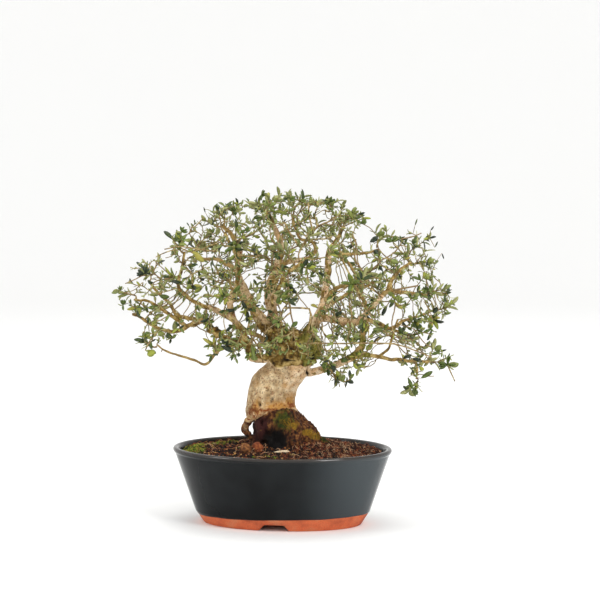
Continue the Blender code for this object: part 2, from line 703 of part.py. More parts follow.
def on_green_end(route, share):
    """The place at a share of a branchlet's green end, and the direction there."""
    steps = np.linalg.norm(np.diff(route, axis=0), axis=1)
    reached = np.concatenate([[0], np.cumsum(steps)])
    green = min(GREEN_END, 0.8 * reached[-1])
    wanted = reached[-1] - green * (1 - share)
    i = min(int(np.searchsorted(reached, wanted, side="right")) - 1, len(steps) - 1)
    way = (route[i + 1] - route[i]) / steps[i]
    return route[i] + way * (wanted - reached[i]), way


def make_sprays():
    """Every leafy spray, each grown clear of the limbs and of the sprays before it."""
    rng = np.random.default_rng(SEED)
    space, sockets = standing_tree()
    for number, end in enumerate(SPRAY_ENDS, 1):
        make_spray(f"spray_{number:02d}", from_front(*end), sockets, space, rng)


def main():
    for obj in list(bpy.data.objects):
        bpy.data.objects.remove(obj)
    make_pot()
    make_screen(-1)
    make_screen(1)
    make_soil()
    make_stones()
    make_tree()
    make_sprays()


main()
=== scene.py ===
import math

import bpy
import numpy as np
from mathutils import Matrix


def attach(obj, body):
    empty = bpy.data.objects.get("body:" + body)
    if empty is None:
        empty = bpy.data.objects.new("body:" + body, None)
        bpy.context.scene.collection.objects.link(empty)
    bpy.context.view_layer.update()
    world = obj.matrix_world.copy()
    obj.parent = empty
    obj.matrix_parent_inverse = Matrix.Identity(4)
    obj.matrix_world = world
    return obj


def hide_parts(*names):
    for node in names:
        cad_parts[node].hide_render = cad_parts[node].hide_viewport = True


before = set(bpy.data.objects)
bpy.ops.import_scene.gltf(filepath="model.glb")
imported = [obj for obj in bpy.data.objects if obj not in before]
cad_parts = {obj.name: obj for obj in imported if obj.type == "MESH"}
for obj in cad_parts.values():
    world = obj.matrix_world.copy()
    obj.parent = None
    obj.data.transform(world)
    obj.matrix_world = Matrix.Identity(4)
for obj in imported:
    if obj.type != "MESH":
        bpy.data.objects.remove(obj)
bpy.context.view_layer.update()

mm = 0.001

# The front view, in which every route of the tree is given: turned from the pot and a little from above
frontView = {
    "turn": math.radians(9.0),
    "rise": math.radians(5.0),
    "distance": 2200.0,  # mm from the pot's middle to the eye
    "aimHeight": 160.0,
    "imageSize": 600,
    "pixelsPerMetre": 933.0,  # at the pot's middle
    "aimPixel": (282.0, 374.5),  # where the point at aimHeight over the pot's middle shows
    "sensor": 36.0,
}


# Basic tools

def linearColour(hexText):
    # sRGB hex to linear light, by the standard curve with its straight foot
    parts = [int(hexText[i:i + 2], 16) / 255 for i in (1, 3, 5)]
    return [c / 12.92 if c <= 0.04045 else ((c + 0.055) / 1.055) ** 2.4 for c in parts] + [1.0]


def outputOf(source):
    # a node stands for its first output
    return source.outputs[0] if isinstance(source, bpy.types.Node) else source


def addNode(tree, kind, settings=None, links=None, stops=()):
    # one shader node: settings are its own values, links feed its inputs, stops are a ramp's colours
    node = tree.nodes.new("ShaderNode" + kind)
    for name, value in (settings or {}).items():
        setattr(node, name, value)
    for socket, source in (links or {}).items():
        source = outputOf(source)
        if isinstance(source, bpy.types.NodeSocket):
            tree.links.new(source, node.inputs[socket])
        else:
            node.inputs[socket].default_value = source
    for i, (place, colour) in enumerate(stops):
        if i > 1:
            node.color_ramp.elements.new(place)
        node.color_ramp.elements[i].position = place
        node.color_ramp.elements[i].color = linearColour(colour)
    return node


def layerColours(tree, colour, layers):
    # lays colours one over another, each by its share from 0 to 1
    for share, above in layers:
        above = linearColour(above) if isinstance(above, str) else above
        mixed = addNode(tree, "Mix", {"data_type": "RGBA"}, {"Factor": share, "A": colour, "B": above})
        colour = mixed.outputs["Result"]
    return colour


def shadeColour(tree, colour, value, fromRange, toRange):
    # a colour times a factor that runs over toRange as value runs over fromRange
    factor = addNode(tree, "MapRange", links={
        "Value": value, "From Min": fromRange[0], "From Max": fromRange[1], "To Min": toRange[0],
        "To Max": toRange[1]})
    return addNode(tree, "VectorMath", {"operation": "SCALE"}, {0: colour, "Scale": factor})


def shiftedTone(tree, noise, spread, centre):
    # each piece's tone made to vary within it: the noise times spread is added and centre taken off
    tone = addNode(tree, "Attribute", {"attribute_name": "tone"}).outputs["Fac"]
    raised = addNode(tree, "Math", {"operation": "MULTIPLY_ADD"}, {0: noise, 1: spread, 2: tone})
    return addNode(tree, "Math", {"operation": "SUBTRACT"}, {0: raised, 1: centre})


def startMaterial(name, **values):
    # a new material whose shader has these values, its node tree and a place to read Object coordinates from
    material = bpy.data.materials.new(name)
    material.use_nodes = True
    tree = material.node_tree
    for socket, value in values.items():
        tree.nodes["Principled BSDF"].inputs[socket.replace("_", " ")].default_value = value
    return material, tree, addNode(tree, "TexCoord").outputs["Object"]


def finishMaterial(material, height, strength, distance, **sources):
    # sources go to the shader's inputs of their names, and height through a bump to its normal
    tree = material.node_tree
    bump = addNode(tree, "Bump", links={"Strength": strength, "Distance": distance, "Height": height})
    for socket, source in (*sources.items(), ("Normal", bump)):
        tree.links.new(outputOf(source), tree.nodes["Principled BSDF"].inputs[socket.replace("_", " ")])
    return material


def putMesh(name, points, faces, material, slot, attributes=None, replaced=(), smooth=True):
    # points in mm and faces, a list of arrays of point numbers, become one closed mesh on the root body
    mesh = bpy.data.meshes.new(name)
    points = points.reshape(-1, 3) * mm
    triangles = np.concatenate([part[:, :3] for part in faces]
                               + [part[:, [0, 2, 3]] for part in faces if part.shape[1] == 4])
    a, b, c = (points[triangles[:, i]] for i in range(3))
    if np.einsum("ij,ij->", a, np.cross(b, c)) < 0:  # a negative volume has its faces pointing in
        faces = [part[:, ::-1] for part in faces]
    corners = np.concatenate([part.ravel() for part in faces])
    sizes = np.concatenate([np.full(len(part), part.shape[1]) for part in faces])
    mesh.vertices.add(len(points))
    mesh.vertices.foreach_set("co", points.ravel())
    mesh.loops.add(len(corners))
    mesh.loops.foreach_set("vertex_index", corners)
    mesh.polygons.add(len(sizes))
    mesh.polygons.foreach_set("loop_start", np.concatenate([[0], np.cumsum(sizes)[:-1]]))
    mesh.update(calc_edges=True)
    if smooth:
        mesh.shade_smooth()
    for title, values in (attributes or {}).items():
        kind = "POINT" if len(values) == len(points) else "FACE"
        mesh.attributes.new(title, "FLOAT", kind).data.foreach_set("value", values)
    mesh.materials.append(material)
    piece = bpy.data.objects.new(name, mesh)
    bpy.context.scene.collection.objects.link(piece)
    if slot:
        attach(piece, "root")
    if replaced:
        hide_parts(*replaced)
    return piece


def gridFaces(rows, columns, closeRows=False):
    # quads between neighbouring rows and columns of a grid: its columns are closed round, its rows where asked
    i = np.arange(rows if closeRows else rows - 1)[:, None]
    j = np.arange(columns)[None, :]
    nextRow, nextColumn = (i + 1) % rows, (j + 1) % columns
    quads = [i * columns + j, i * columns + nextColumn, nextRow * columns + nextColumn, nextRow * columns + j]
    return np.stack(quads, axis=-1).reshape(-1, 4)


def poleFaces(pole, ring):
    # triangles from one pole point to each side of a ring of point numbers
    return np.stack([np.full(len(ring), pole), ring, np.roll(ring, -1)], axis=1)


def closedFaces(rows, columns, count=1):
    # the faces of closed grids one after another, each with its rings first and then its two poles
    size = rows * columns
    ends = np.vstack([poleFaces(size, np.arange(columns)[::-1]),
                      poleFaces(size + 1, np.arange(columns) + size - columns)])
    shift = (np.arange(count) * (size + 2))[:, None, None]
    return [(part[None] + shift).reshape(-1, part.shape[1]) for part in (gridFaces(rows, columns), ends)]


def closedGrid(grid):
    # a grid of rings, (rows, columns, 3), with a pole point in the middle of the first and the last ring
    points = np.vstack([grid.reshape(-1, 3), grid[0].mean(axis=0), grid[-1].mean(axis=0)])
    return points, closedFaces(*grid.shape[:2])


def softNoise(points, cell, seed=0):
    # value noise from 0 to 1: heights at the corners of a lattice, blended by a smooth cubic; a height is the
    # part behind the point of a large multiple of a sine, which is as good as random
    scaled = np.asarray(points, float) / cell + seed * 17.3
    base = np.floor(scaled)
    part = scaled - base
    part = part * part * (3 - 2 * part)
    total = np.zeros(scaled.shape[:-1])
    for corner in range(8):
        offset = np.array([corner & 1, corner >> 1 & 1, corner >> 2 & 1])
        wave = np.sin((base + offset) @ np.array([127.1, 311.7, 74.7]) + seed) * 43758.5453
        weight = np.prod(np.where(offset == 1, part, 1 - part), axis=-1)
        total += weight * (wave - np.floor(wave))
    return total


def layeredNoise(points, cell, layers=4, seed=0):
    # layers of value noise, each half as wide and half as strong, about 0
    return sum((softNoise(points, cell / 2**i, seed + i) - 0.5) / 2**i for i in range(layers))


def noiseVectors(points, cell, layers, seed, offsets):
    # three noises as a vector, each read that far away from the others
    return np.stack([layeredNoise(points + offset, cell, layers, seed) for offset in offsets], axis=-1)


def fullTurn(count):
    # evenly spread angles round a circle
    return np.arange(count) * 2 * math.pi / count


def turned(x, y, angle):
    # a level place turned about the upright
    c, s = math.cos(angle), math.sin(angle)
    return x * c - y * s, x * s + y * c


def lengthsAlong(path):
    # the length of each step of a path, and how far along it each point lies
    steps = np.linalg.norm(np.diff(path, axis=0), axis=1)
    return steps, np.concatenate([[0], np.cumsum(steps)])


def smoothRoute(points, steps):
    # a smooth curve through all points (centripetal tangents), read at evenly spread places
    points = np.asarray(points, float)
    padded = np.vstack([2 * points[0] - points[1], points, 2 * points[-1] - points[-2]])
    t = np.linspace(0, len(points) - 1, steps)
    i = np.minimum(t.astype(int), len(points) - 2)
    u = (t - i)[:, None]
    a, b, c, d = padded[i], padded[i + 1], padded[i + 2], padded[i + 3]
    return 0.5 * (2 * b + (c - a) * u + (2 * a - 5 * b + 4 * c - d) * u**2 + (3 * b - a - 3 * c + d) * u**3)


def unit(vectors):
    # each vector at length 1
    return vectors / np.maximum(np.linalg.norm(vectors, axis=-1, keepdims=True), 1e-9)


def tubeSurfaces(paths, radii, sides):
    # round tubes along many paths, (tubes, rings, 3): each ring lies square to its path, is turned as little
    # as can be from the ring before, and a pole closes each end
    count, rings = paths.shape[:2]
    ahead = unit(np.gradient(paths, axis=1))
    side = unit(np.cross(ahead[:, 0], [0.31, 0.23, 0.92]))  # any way that no path takes
    angle = fullTurn(sides)[None, :, None]
    grid = np.empty((count, rings, sides, 3))
    for k in range(rings):
        side = unit(side - ahead[:, k] * np.einsum("ij,ij->i", side, ahead[:, k])[:, None])
        other = np.cross(ahead[:, k], side)
        out = np.cos(angle) * side[:, None] + np.sin(angle) * other[:, None]
        grid[:, k] = paths[:, k, None] + radii[:, k, None, None] * out
    points = np.concatenate([grid.reshape(count, -1, 3), paths[:, :1], paths[:, -1:]], axis=1)
    return points.reshape(-1, 3), closedFaces(rings, sides, count)


def inPotFrame(across, back):
    # a level place of the front view, turned into the pot's frame
    return turned(across, back, frontView["turn"])


def fromFront(places):
    # what shows at (across, up) in the front view and lies that far back from the pot's middle, in mm
    across, up, back = np.moveaxis(np.asarray(places, float), -1, 0)
    share = 1 + back / frontView["distance"]
    x, y = inPotFrame(across * share, back)
    rise = (up - frontView["aimHeight"]) * share - back * math.sin(frontView["rise"])
    return np.stack([x, y, frontView["aimHeight"] + rise / math.cos(frontView["rise"])], axis=-1)


def toFront(points):
    # the reverse of fromFront: where points show in the front view, and how far back they lie
    x, y, z = np.moveaxis(points, -1, 0)
    across, back = turned(x, y, -frontView["turn"])
    share = 1 + back / frontView["distance"]
    rise = (z - frontView["aimHeight"]) * math.cos(frontView["rise"])
    up = frontView["aimHeight"] + (rise + back * math.sin(frontView["rise"])) / share
    return np.stack([across / share, up, back], axis=-1)


# Camera, light and floor

studio = {
    "floorRadius": 2.7,  # flat out to here, in metres
    "sweepRadius": 1.4,
    "wallHeight": 1.5,
    "sides": 96,
    "floorColour": "#f7f7f6",
    "skyColour": "#ffffff",
    "skyStrength": 0.85,
    "litHeight": 0.18,  # what the lights are turned to, over the pot's middle
    "lights": {  # name: (place in metres, width, watts)
        "keyLight": ((1.5, -1.5, 2.0), 0.9, 31.0),
        "fillLight": ((-1.7, -1.0, 1.6), 0.7, 9.0),
        "topLight": ((0.0, 0.3, 2.6), 1.6, 24.0),
    },
}


def makeCamera():
    turn, rise = frontView["turn"], frontView["rise"]
    toEye = np.array([math.sin(turn) * math.cos(rise), -math.cos(turn) * math.cos(rise), math.sin(rise)])
    right = np.array([math.cos(turn), math.sin(turn), 0.0])
    up = np.cross(toEye, right)
    half = frontView["imageSize"] / 2
    scale = frontView["pixelsPerMetre"]
    aside = (half - frontView["aimPixel"][0]) / scale
    above = (frontView["aimPixel"][1] - half) / scale
    distance = frontView["distance"] * mm
    place = np.array([0, 0, frontView["aimHeight"] * mm]) + right * aside + up * above + toEye * distance
    lens = bpy.data.cameras.new("frontCamera")
    lens.sensor_width = frontView["sensor"]
    lens.lens = scale * distance / frontView["imageSize"] * frontView["sensor"]
    lens.clip_start, lens.clip_end = 0.05, 60.0
    camera = bpy.data.objects.new("frontCamera", lens)
    camera.location = place
    camera.rotation_euler = (math.pi / 2 - rise, 0.0, turn)
    bpy.context.scene.collection.objects.link(camera)
    bpy.context.scene.camera = camera
    bpy.context.scene.view_settings.view_transform = "Standard"  # colours as they are lit, like a catalogue


def makeFloor():
    # one surface turned round the upright axis: a flat floor that curves up into a round wall
    flat = np.linspace(0.02, studio["floorRadius"], 24)
    bend = np.linspace(0, math.pi / 2, 16)[1:]
    radius = np.concatenate([flat, studio["floorRadius"] + studio["sweepRadius"] * np.sin(bend)])
    height = np.concatenate([flat * 0, studio["sweepRadius"] * (1 - np.cos(bend))])
    radius = np.append(radius, radius[-1])
    height = np.append(height, studio["wallHeight"])
    angle = fullTurn(studio["sides"])
    grid = np.stack([radius[:, None] * np.cos(angle), radius[:, None] * np.sin(angle),
                     height[:, None] + 0 * angle], axis=-1) / mm
    points = np.vstack([grid.reshape(-1, 3), [0, 0, 0]])
    # matte paint, so the floor shows no glare
    paint = startMaterial("palePaintedFloor", Base_Color=linearColour(studio["floorColour"]), Roughness=0.9)[0]
    faces = [gridFaces(len(radius), studio["sides"]), poleFaces(len(points) - 1, np.arange(studio["sides"]))]
    putMesh("studioFloor", points, faces, paint, None)


def makeLights():
    # soft lamps that are turned to the tree, and an even sky
    world = bpy.data.worlds.new("studioSky")
    bpy.context.scene.world = world
    world.use_nodes = True
    sky = world.node_tree.nodes["Background"]
    sky.inputs["Color"].default_value = linearColour(studio["skyColour"])
    sky.inputs["Strength"].default_value = studio["skyStrength"]
    for name, (place, width, watts) in studio["lights"].items():
        lamp = bpy.data.lights.new(name, "AREA")
        lamp.size = width
        lamp.energy = watts
        light = bpy.data.objects.new(name, lamp)
        light.location = place
        away = np.array(place) - (0, 0, studio["litHeight"])
        light.rotation_euler = (math.atan2(math.hypot(away[0], away[1]), away[2]), 0.0,
                                math.atan2(away[1], away[0]) + math.pi / 2)
        bpy.context.scene.collection.objects.link(light)


makeCamera()
makeFloor()
makeLights()
print("studio ready")

# Pot: fired clay under a dark glaze

pot = {
    "halfLength": 118.5,
    "halfWidth": 85.0,
    "height": 82.0,
    "lipHeight": 6.0,
    "lipReach": 2.2,
    "wall": 7.0,
    "floorTop": 14.0,
    "clayTop": 13.0,
    "clayInset": 24.0,
    "footInset": 32.5,
    "footWidth": 9.0,
    "footHeight": 7.0,
    "gap": (33.0, 21.0, 6.4),  # the foot gap's width at its bottom and top, and its height
    "drainRadius": 8.0,
    "drainOffset": 38.0,
    "glazeThickness": 0.45,
    "glazeWave": 0.7,  # how unevenly the glaze ends, in mm
    "glazeRuns": [(180, 42, 5.2), (232, 30, 1.6)],  # direction and half width in degrees, how far it runs down
    "sides": 200,
    "glaze": "#0f1112",
    # the pale glaze colour is both the glaze's real paler clouds and a painted reflection on the pot's right
    # end
    "glazePaleCloudAndSheen": "#43494c",
    "glazeThin": "#2d2723",
    "clay": "#d76b3e",
    "clayDark": "#ab4d2e",
    "clayPale": "#d08056",
    "belly": 45.0,  # heights of the profile's points: the wall's middle, its top outside and its top inside
    "shoulder": 76.0,
    "insideTop": 69.5,
    "runFrom": 25.0,  # where the glaze starts to hang down, and over how many mm this grows to its full
    "runFade": 8.0,
    "edgeWaves": ((3, 1.0, 0.6), (7, 0.5, 2.1), (17, 0.3, 0.0)),  # waves round the pot, their share and start
}


def wallInset(height):
    # how far the outside of the wall is set in from the rim's outline at a height
    below = pot["height"] - pot["lipHeight"] - height
    run = pot["height"] - pot["lipHeight"] - pot["clayTop"]
    return pot["lipReach"] + below * (pot["clayInset"] - pot["lipReach"]) / run


def ovalAngles(sides):
    # angles round the oval, closer at its front and back: even steps plus a quarter of the double angle's sine
    even = fullTurn(sides)
    return even + 0.25 * np.sin(2 * even)


def ovalRings(insets, heights, sides, share=None):
    # level ovals, each set in from the rim's outline, and drawn towards the middle by share
    angle = ovalAngles(sides)
    insets, heights = np.asarray(insets, float)[:, None], np.asarray(heights, float)[:, None]
    share = 1.0 if share is None else np.asarray(share, float)[:, None]
    x = (pot["halfLength"] - insets) * share * np.cos(angle)
    y = (pot["halfWidth"] - insets) * share * np.sin(angle)
    return np.stack([x, y, heights + 0 * x], axis=-1)


def roundCorners(outline, reach, steps=5):
    # an outline whose inner corners are cut back by reach and bridged by a quadratic curve
    outline = np.asarray(outline, float)
    before = unit(outline[:-2] - outline[1:-1])
    after = unit(outline[2:] - outline[1:-1])
    room = np.minimum(np.linalg.norm(outline[:-2] - outline[1:-1], axis=1),
                      np.linalg.norm(outline[2:] - outline[1:-1], axis=1))
    cut = np.minimum(reach, room * 0.45)[:, None]
    start, end = outline[1:-1] + before * cut, outline[1:-1] + after * cut
    t = np.linspace(0, 1, steps)[:, None, None]
    curve = (1 - t) ** 2 * start + 2 * t * (1 - t) * outline[1:-1] + t**2 * end
    return np.vstack([outline[:1], curve.transpose(1, 0, 2).reshape(-1, 2), outline[-1:]])


def footGapLift(points):
    # the foot's underside is lifted over the two gaps: flat in the middle, with sloping sides
    bottom, top, height = pot["gap"]
    beside = np.abs(points[..., 0])
    lift = height * np.clip((bottom / 2 - beside) / ((bottom - top) / 2), 0, 1)
    lift = lift * (np.abs(points[..., 1]) > 20)
    lifted = points.copy()
    lifted[..., 2] = np.maximum(points[..., 2], np.where(points[..., 2] < height, lift, 0))
    return lifted


def makePot():
    # the clay body follows the whole profile, from the underside round the foot and the lip to the floor inside
    skin, wall, top = pot["glazeThickness"], pot["wall"], pot["height"]
    belly, shoulder, insideTop = pot["belly"], pot["shoulder"], pot["insideTop"]
    profile = roundCorners([
        (pot["footInset"] + pot["footWidth"] + 0.6, pot["footHeight"]),
        (pot["footInset"] + pot["footWidth"], 0.0), (pot["footInset"] + 0.4, 0.0),
        (pot["clayInset"] + 0.6, pot["clayTop"]), (wallInset(belly) + skin, belly),
        (wallInset(shoulder) + skin, shoulder), (0.4 + skin, 78.0), (skin, 80.0), (1.2, top - 0.5 - skin),
        (3.4, top - skin), (5.8, top - 0.8 - skin), (7.2 - skin, 79.0),
        (wallInset(insideTop) + wall - skin, insideTop), (wallInset(20) + wall, 20.0),
        (wallInset(14) + wall + 6, pot["floorTop"])], 1.2)
    walls = footGapLift(ovalRings(profile[:, 0], profile[:, 1], pot["sides"]))
    under = ovalRings([profile[0, 0]] * 3, [pot["footHeight"]] * 3, pot["sides"], [0.03, 0.35, 0.75])
    inside = ovalRings([profile[-1, 0]] * 3, [pot["floorTop"]] * 3, pot["sides"], [0.75, 0.35, 0.03])
    points, faces = closedGrid(np.concatenate([under, walls, inside]))
    body = putMesh("potClayBody", points, faces, firedClay(), "clay", replaced=["pot"])
    for side in (-1, 1):
        cutDrainHole(body, side)
    makeGlaze()
    print("pot ready")


def makeGlaze():
    # the glaze is a thin coat: its outer face, its edge by the clay band, and back along its inner face; its
    # low edge hangs down in runs, which are bell curves round the pot, and waves, and keeps to the body's slope
    skin, top = pot["glazeThickness"], pot["height"]
    outer = [(wallInset(13.4) + 0.5, 13.3), (wallInset(14.2), 14.0)]
    outer += [(wallInset(height), height) for height in (17.0, 20.5, 25.0, pot["belly"], pot["shoulder"])]
    outer += [(0.5, 77.6), (0.0, 79.6), (0.9, top - 0.7), (3.2, top), (5.8, top - 0.7), (7.2, 79.2),
              (wallInset(66) + pot["wall"] - skin, 66.0)]
    outer = roundCorners(outer, 1.6, 7)
    lean = unit(np.gradient(outer, axis=0))
    inner = outer + np.stack([lean[:, 1], -lean[:, 0]], axis=1) * skin * 1.6
    loop = np.vstack([outer, inner[::-1]])
    grid = ovalRings(loop[:, 0], loop[:, 1], pot["sides"])
    low = np.clip((pot["runFrom"] - grid[..., 2]) / pot["runFade"], 0, 1)
    angle = ovalAngles(pot["sides"])
    wave = sum(share * np.sin(count * angle + start) for count, share, start in pot["edgeWaves"])
    run = sum(down * np.exp(-(((np.degrees(angle) - way) / half) ** 2)) for way, half, down in pot["glazeRuns"])
    fall = low * (run + pot["glazeWave"] * (wave - 1.0) * 0.5)
    bodyLine = [(0.0, pot["footInset"] + 0.4), (pot["clayTop"], pot["clayInset"] + 0.6),
                (pot["belly"], wallInset(pot["belly"]) + skin)]
    deeper = np.interp(grid[..., 2] - fall, *zip(*bodyLine)) - np.interp(grid[..., 2], *zip(*bodyLine))
    grid[..., 2] -= fall
    grid[..., 0] -= deeper * (low > 0) * np.cos(angle)
    grid[..., 1] -= deeper * (low > 0) * np.sin(angle)
    faces = [gridFaces(len(loop), pot["sides"], closeRows=True)]
    putMesh("potGlaze", grid, faces, potGlaze(), "glaze", replaced=["pot"])


def cutDrainHole(body, side):
    # a round cutter takes the drain hole out of the floor
    angle, radius = fullTurn(48), pot["drainRadius"]
    across, back = side * pot["drainOffset"] + radius * np.cos(angle), radius * np.sin(angle)
    rings = np.stack([np.stack([across, back, height + 0 * angle], axis=-1)
                      for height in (pot["footHeight"] - 2, pot["floorTop"] + 4)])
    cutter = putMesh("drainCutter", *closedGrid(rings), body.data.materials[0], None)
    hole = body.modifiers.new("drainHole", "BOOLEAN")
    hole.operation = "DIFFERENCE"
    hole.object = cutter
    applyModifiers(body)
    bpy.data.objects.remove(cutter)


def applyModifiers(piece):
    # the mesh as its modifiers make it takes the place of the old one
    bpy.context.view_layer.update()
    made = bpy.data.meshes.new_from_object(piece.evaluated_get(bpy.context.evaluated_depsgraph_get()))
    piece.modifiers.clear()
    old, piece.data = piece.data, made
    bpy.data.meshes.remove(old)
    made.name = piece.name


def potGlaze():
    # near-black stoneware glaze, dipped and fired: deep and glassy, with a painted reflection that makes it
    # paler towards the pot's right end, thinner and browner where it runs off the lip, with a faint orange-peel
    # skin
    material, tree, place = startMaterial("stonewareGlaze", Roughness=0.13, IOR=1.5)
    axes = addNode(tree, "SeparateXYZ", links={"Vector": place})
    clouds = addNode(tree, "TexNoise", links={"Vector": place, "Scale": 22.0, "Detail": 2.0})
    soft = {"interpolation_type": "SMOOTHSTEP"}
    # painted reflection: the glaze is made paler towards the pot's right end, as the lamps' reflection would
    # make it
    side = addNode(tree, "MapRange", soft, {"Value": axes.outputs["X"], "From Min": 0.015, "From Max": 0.1})
    cloudy = addNode(tree, "MapRange", soft,
                     {"Value": clouds, "From Min": 0.35, "From Max": 0.75, "To Max": 0.12})
    lip = addNode(tree, "MapRange", soft, {"Value": axes.outputs["Z"], "From Min": 0.0775, "From Max": 0.0812})
    layers = [(side, pot["glazePaleCloudAndSheen"]), (cloudy, pot["glazePaleCloudAndSheen"]), (lip, pot["glazeThin"])]
    colour = layerColours(tree, linearColour(pot["glaze"]), layers)
    shine = addNode(tree, "MapRange", links={"Value": lip, "To Min": 0.13, "To Max": 0.55})
    peel = addNode(tree, "TexNoise", links={"Vector": place, "Scale": 260.0, "Detail": 2.0})
    return finishMaterial(material, peel, 0.1, 0.0005, Base_Color=colour, Specular_IOR_Level=shine)


def firedClay():
    # bare red stoneware clay, sponged and fired: matte, sandy grains under 1 mm, darker where fire caught it
    material, tree, place = startMaterial("bareFiredClay", Roughness=0.82, IOR=1.5)
    fire = addNode(tree, "TexNoise", links={"Vector": place, "Scale": 55.0, "Detail": 5.0})
    colour = addNode(tree, "ValToRGB", links={"Fac": fire},
                     stops=[(0.3, pot["clayDark"]), (0.52, pot["clay"]), (0.75, pot["clayPale"])])
    grains = addNode(tree, "TexNoise", links={"Vector": place, "Scale": 1100.0, "Detail": 2.0})
    colour = shadeColour(tree, colour, grains, (0.35, 0.7), (0.8, 1.08))
    return finishMaterial(material, grains, 0.5, 0.0004, Base_Color=colour)


makePot()

# Soil with its crumbs, fibres, stones, chip and drain screens

soil = {
    "edge": 75.5,
    "rise": 8.5,
    "bumps": 0.7,
    "edgeInset": 9.6,
    "rings": 72,
    "sides": 200,
    "clod": 7.0,  # width of the largest lumps, in mm
    "clodHeight": 3.9,
    "heaps": [  # across, back, half widths, height
        (-92, 0, 17, 30, 4.0), (30, -24, 20, 12, 4.5), (60, -4, 22, 26, 2.0)],
    "crumbs": 4900,
    "crumbRadius": (0.4, 1.25),
    "fibres": 3000,
    "fibreLength": (3.0, 11.0),
    "fibreRadius": 0.2,
    "fibresLeast": 0.16,  # chance of a fibre on the left; it grows to 1 from fibresFrom on, over fibresOver
    "fibresFrom": 5.0,
    "fibresOver": 40.0,
}
# the near-black dark is the soil's darkest brown and also painted shade in the bed's hollows
soilColours = {"dark": "#0b0504", "brown": "#3a1c10", "red": "#75361f", "gold": "#ad7138", "moss": "#465818"}
moss = {
    "tuftHeight": (0.9, 2.6),
    "tuftRadius": 0.34,
    "soilPatches": [(-94, 2, 13, 30), (-66, 30, 16, 14)],  # across, back and their halves
    "soilTufts": 5200,
    "rootTufts": 1700,
    "crownTufts": 2100,
}
stones = {
    # node: (piece, slot, place across and back, half length, width and height, turn in degrees, lumps, seed,
    # taper to one end, how far it is lifted, material)
    # lava-like brown stone
    "stone_brown": ("stoneBrown", "stone_brown", (-38.5, -33), (6.4, 5.4, 6.6), 20, 0.22, 3, 0.0, 0.0,
                    ("brownLavaStone", "#2a150b", "#70421f", "#c08448", 330.0)),
    # broken brick-coloured stone
    "stone_orange": ("stoneOrange", "stone_orange", (-25.5, -31), (6.4, 4.8, 6.2), -20, 0.26, 8, 0.0, 0.0,
                     ("orangeClayStone", "#381708", "#7d3917", "#b06a34", 300.0)),
    # a weathered, barkless splinter of wood
    "bark_chip": ("barkChip", "chip_wood", (0, -46), (8.6, 3.2, 1.9), 24, 0.30, 5, 0.6, 1.2,
                  ("weatheredWoodChip", "#b09571", "#e0caa6", "#fbefd8", 420.0)),
}
stoneSunk = 0.28


def soilHeight(x, y):
    # a low dome: the edge height plus a rise that falls with the square of the way out, and crossed sine bumps
    out = np.hypot(x / pot["halfLength"], y / pot["halfWidth"])
    bumps = np.sin(x * 0.13 + y * 0.05) * np.sin(y * 0.17 - x * 0.04)
    edge = np.clip((0.9 - out) / 0.2, 0, 1)
    return soil["edge"] + soil["rise"] * np.clip(1 - (out / 0.92) ** 2, 0, 1) + soil["bumps"] * bumps * edge


def soilTop(x, y):
    # the dome with its clods: layered noise from clod width down, sharpened upwards, fading at the pot's wall
    flat = np.stack([x, y, 0 * x], axis=-1)
    clods = layeredNoise(flat, soil["clod"], 4, 5)
    grit = softNoise(flat, 1.7, 9) - 0.5
    out = np.hypot(x / (pot["halfLength"] - 9), y / (pot["halfWidth"] - 9))
    fade = np.clip((1.02 - out) / 0.08, 0.25, 1)
    front = toFront(flat)
    heaped = sum(height * np.exp(-(((front[..., 0] - across) / half) ** 2)
                                 - ((front[..., 2] - back) / deep) ** 2)
                 for across, back, half, deep, height in soil["heaps"])
    return soilHeight(x, y) + fade * (soil["clodHeight"] * (clods + 0.6 * np.abs(clods)) + 0.9 * grit + heaped)


def scatterOnSoil(rng, count, keep=None):
    # places on the soil's oval, evenly spread, or kept with the chance that keep gives for (across, back)
    places = np.empty((0, 2))
    while len(places) < count:
        tried = rng.uniform(-1, 1, (4 * count, 2))
        tried = tried[np.hypot(tried[:, 0], tried[:, 1]) < 0.985]
        tried *= (pot["halfLength"] - soil["edgeInset"], pot["halfWidth"] - soil["edgeInset"])
        if keep is not None:
            chance = keep(*turned(tried[:, 0], tried[:, 1], -frontView["turn"]))
            tried = tried[rng.uniform(size=len(tried)) < chance]
        places = np.vstack([places, tried])
    return places[:count]


def makeSoil():
    # the top is a polar grid over the oval at soilTop's height, its side and bottom follow the pot's inside
    spread = np.linspace(1, 0.012, soil["rings"]) ** 0.8
    angle = ovalAngles(soil["sides"])
    length, width = pot["halfLength"] - soil["edgeInset"], pot["halfWidth"] - soil["edgeInset"]
    x, y = spread[:, None] * length * np.cos(angle), spread[:, None] * width * np.sin(angle)
    top = np.stack([x, y, soilTop(x, y)], axis=-1)
    floor, wall = pot["floorTop"], pot["wall"] + 0.4
    inset = [wallInset(floor) + wall + 6, wallInset(floor + 6) + wall, wallInset(69.5) + wall]
    walls = ovalRings(inset, [floor + 0.3, floor + 6.3, 69.5], soil["sides"])
    points, faces = closedGrid(np.concatenate([walls, top]))
    green = onPatches(points, moss["soilPatches"])
    putMesh("soilBed", points, faces, pottingSoil(), "soil", {"moss": green}, ["soil"])
    rng = np.random.default_rng(21)
    makeCrumbs(rng)
    makeFibres(rng)
    makeSoilMoss(rng)
    print("soil ready")


def onPatches(points, patches):
    # how much of the soil's moss grows at each point: the strongest of the patches' bells, broken by noise
    across, _, back = np.moveaxis(toFront(points), -1, 0)
    bells = [np.exp(-(((across - u) / half) ** 2) - ((back - v) / deep) ** 2) for u, v, half, deep in patches]
    return np.clip(1.5 * np.max(bells, axis=0) - 0.35 + 0.9 * layeredNoise(points, 9.0, 3, 77), 0, 1)


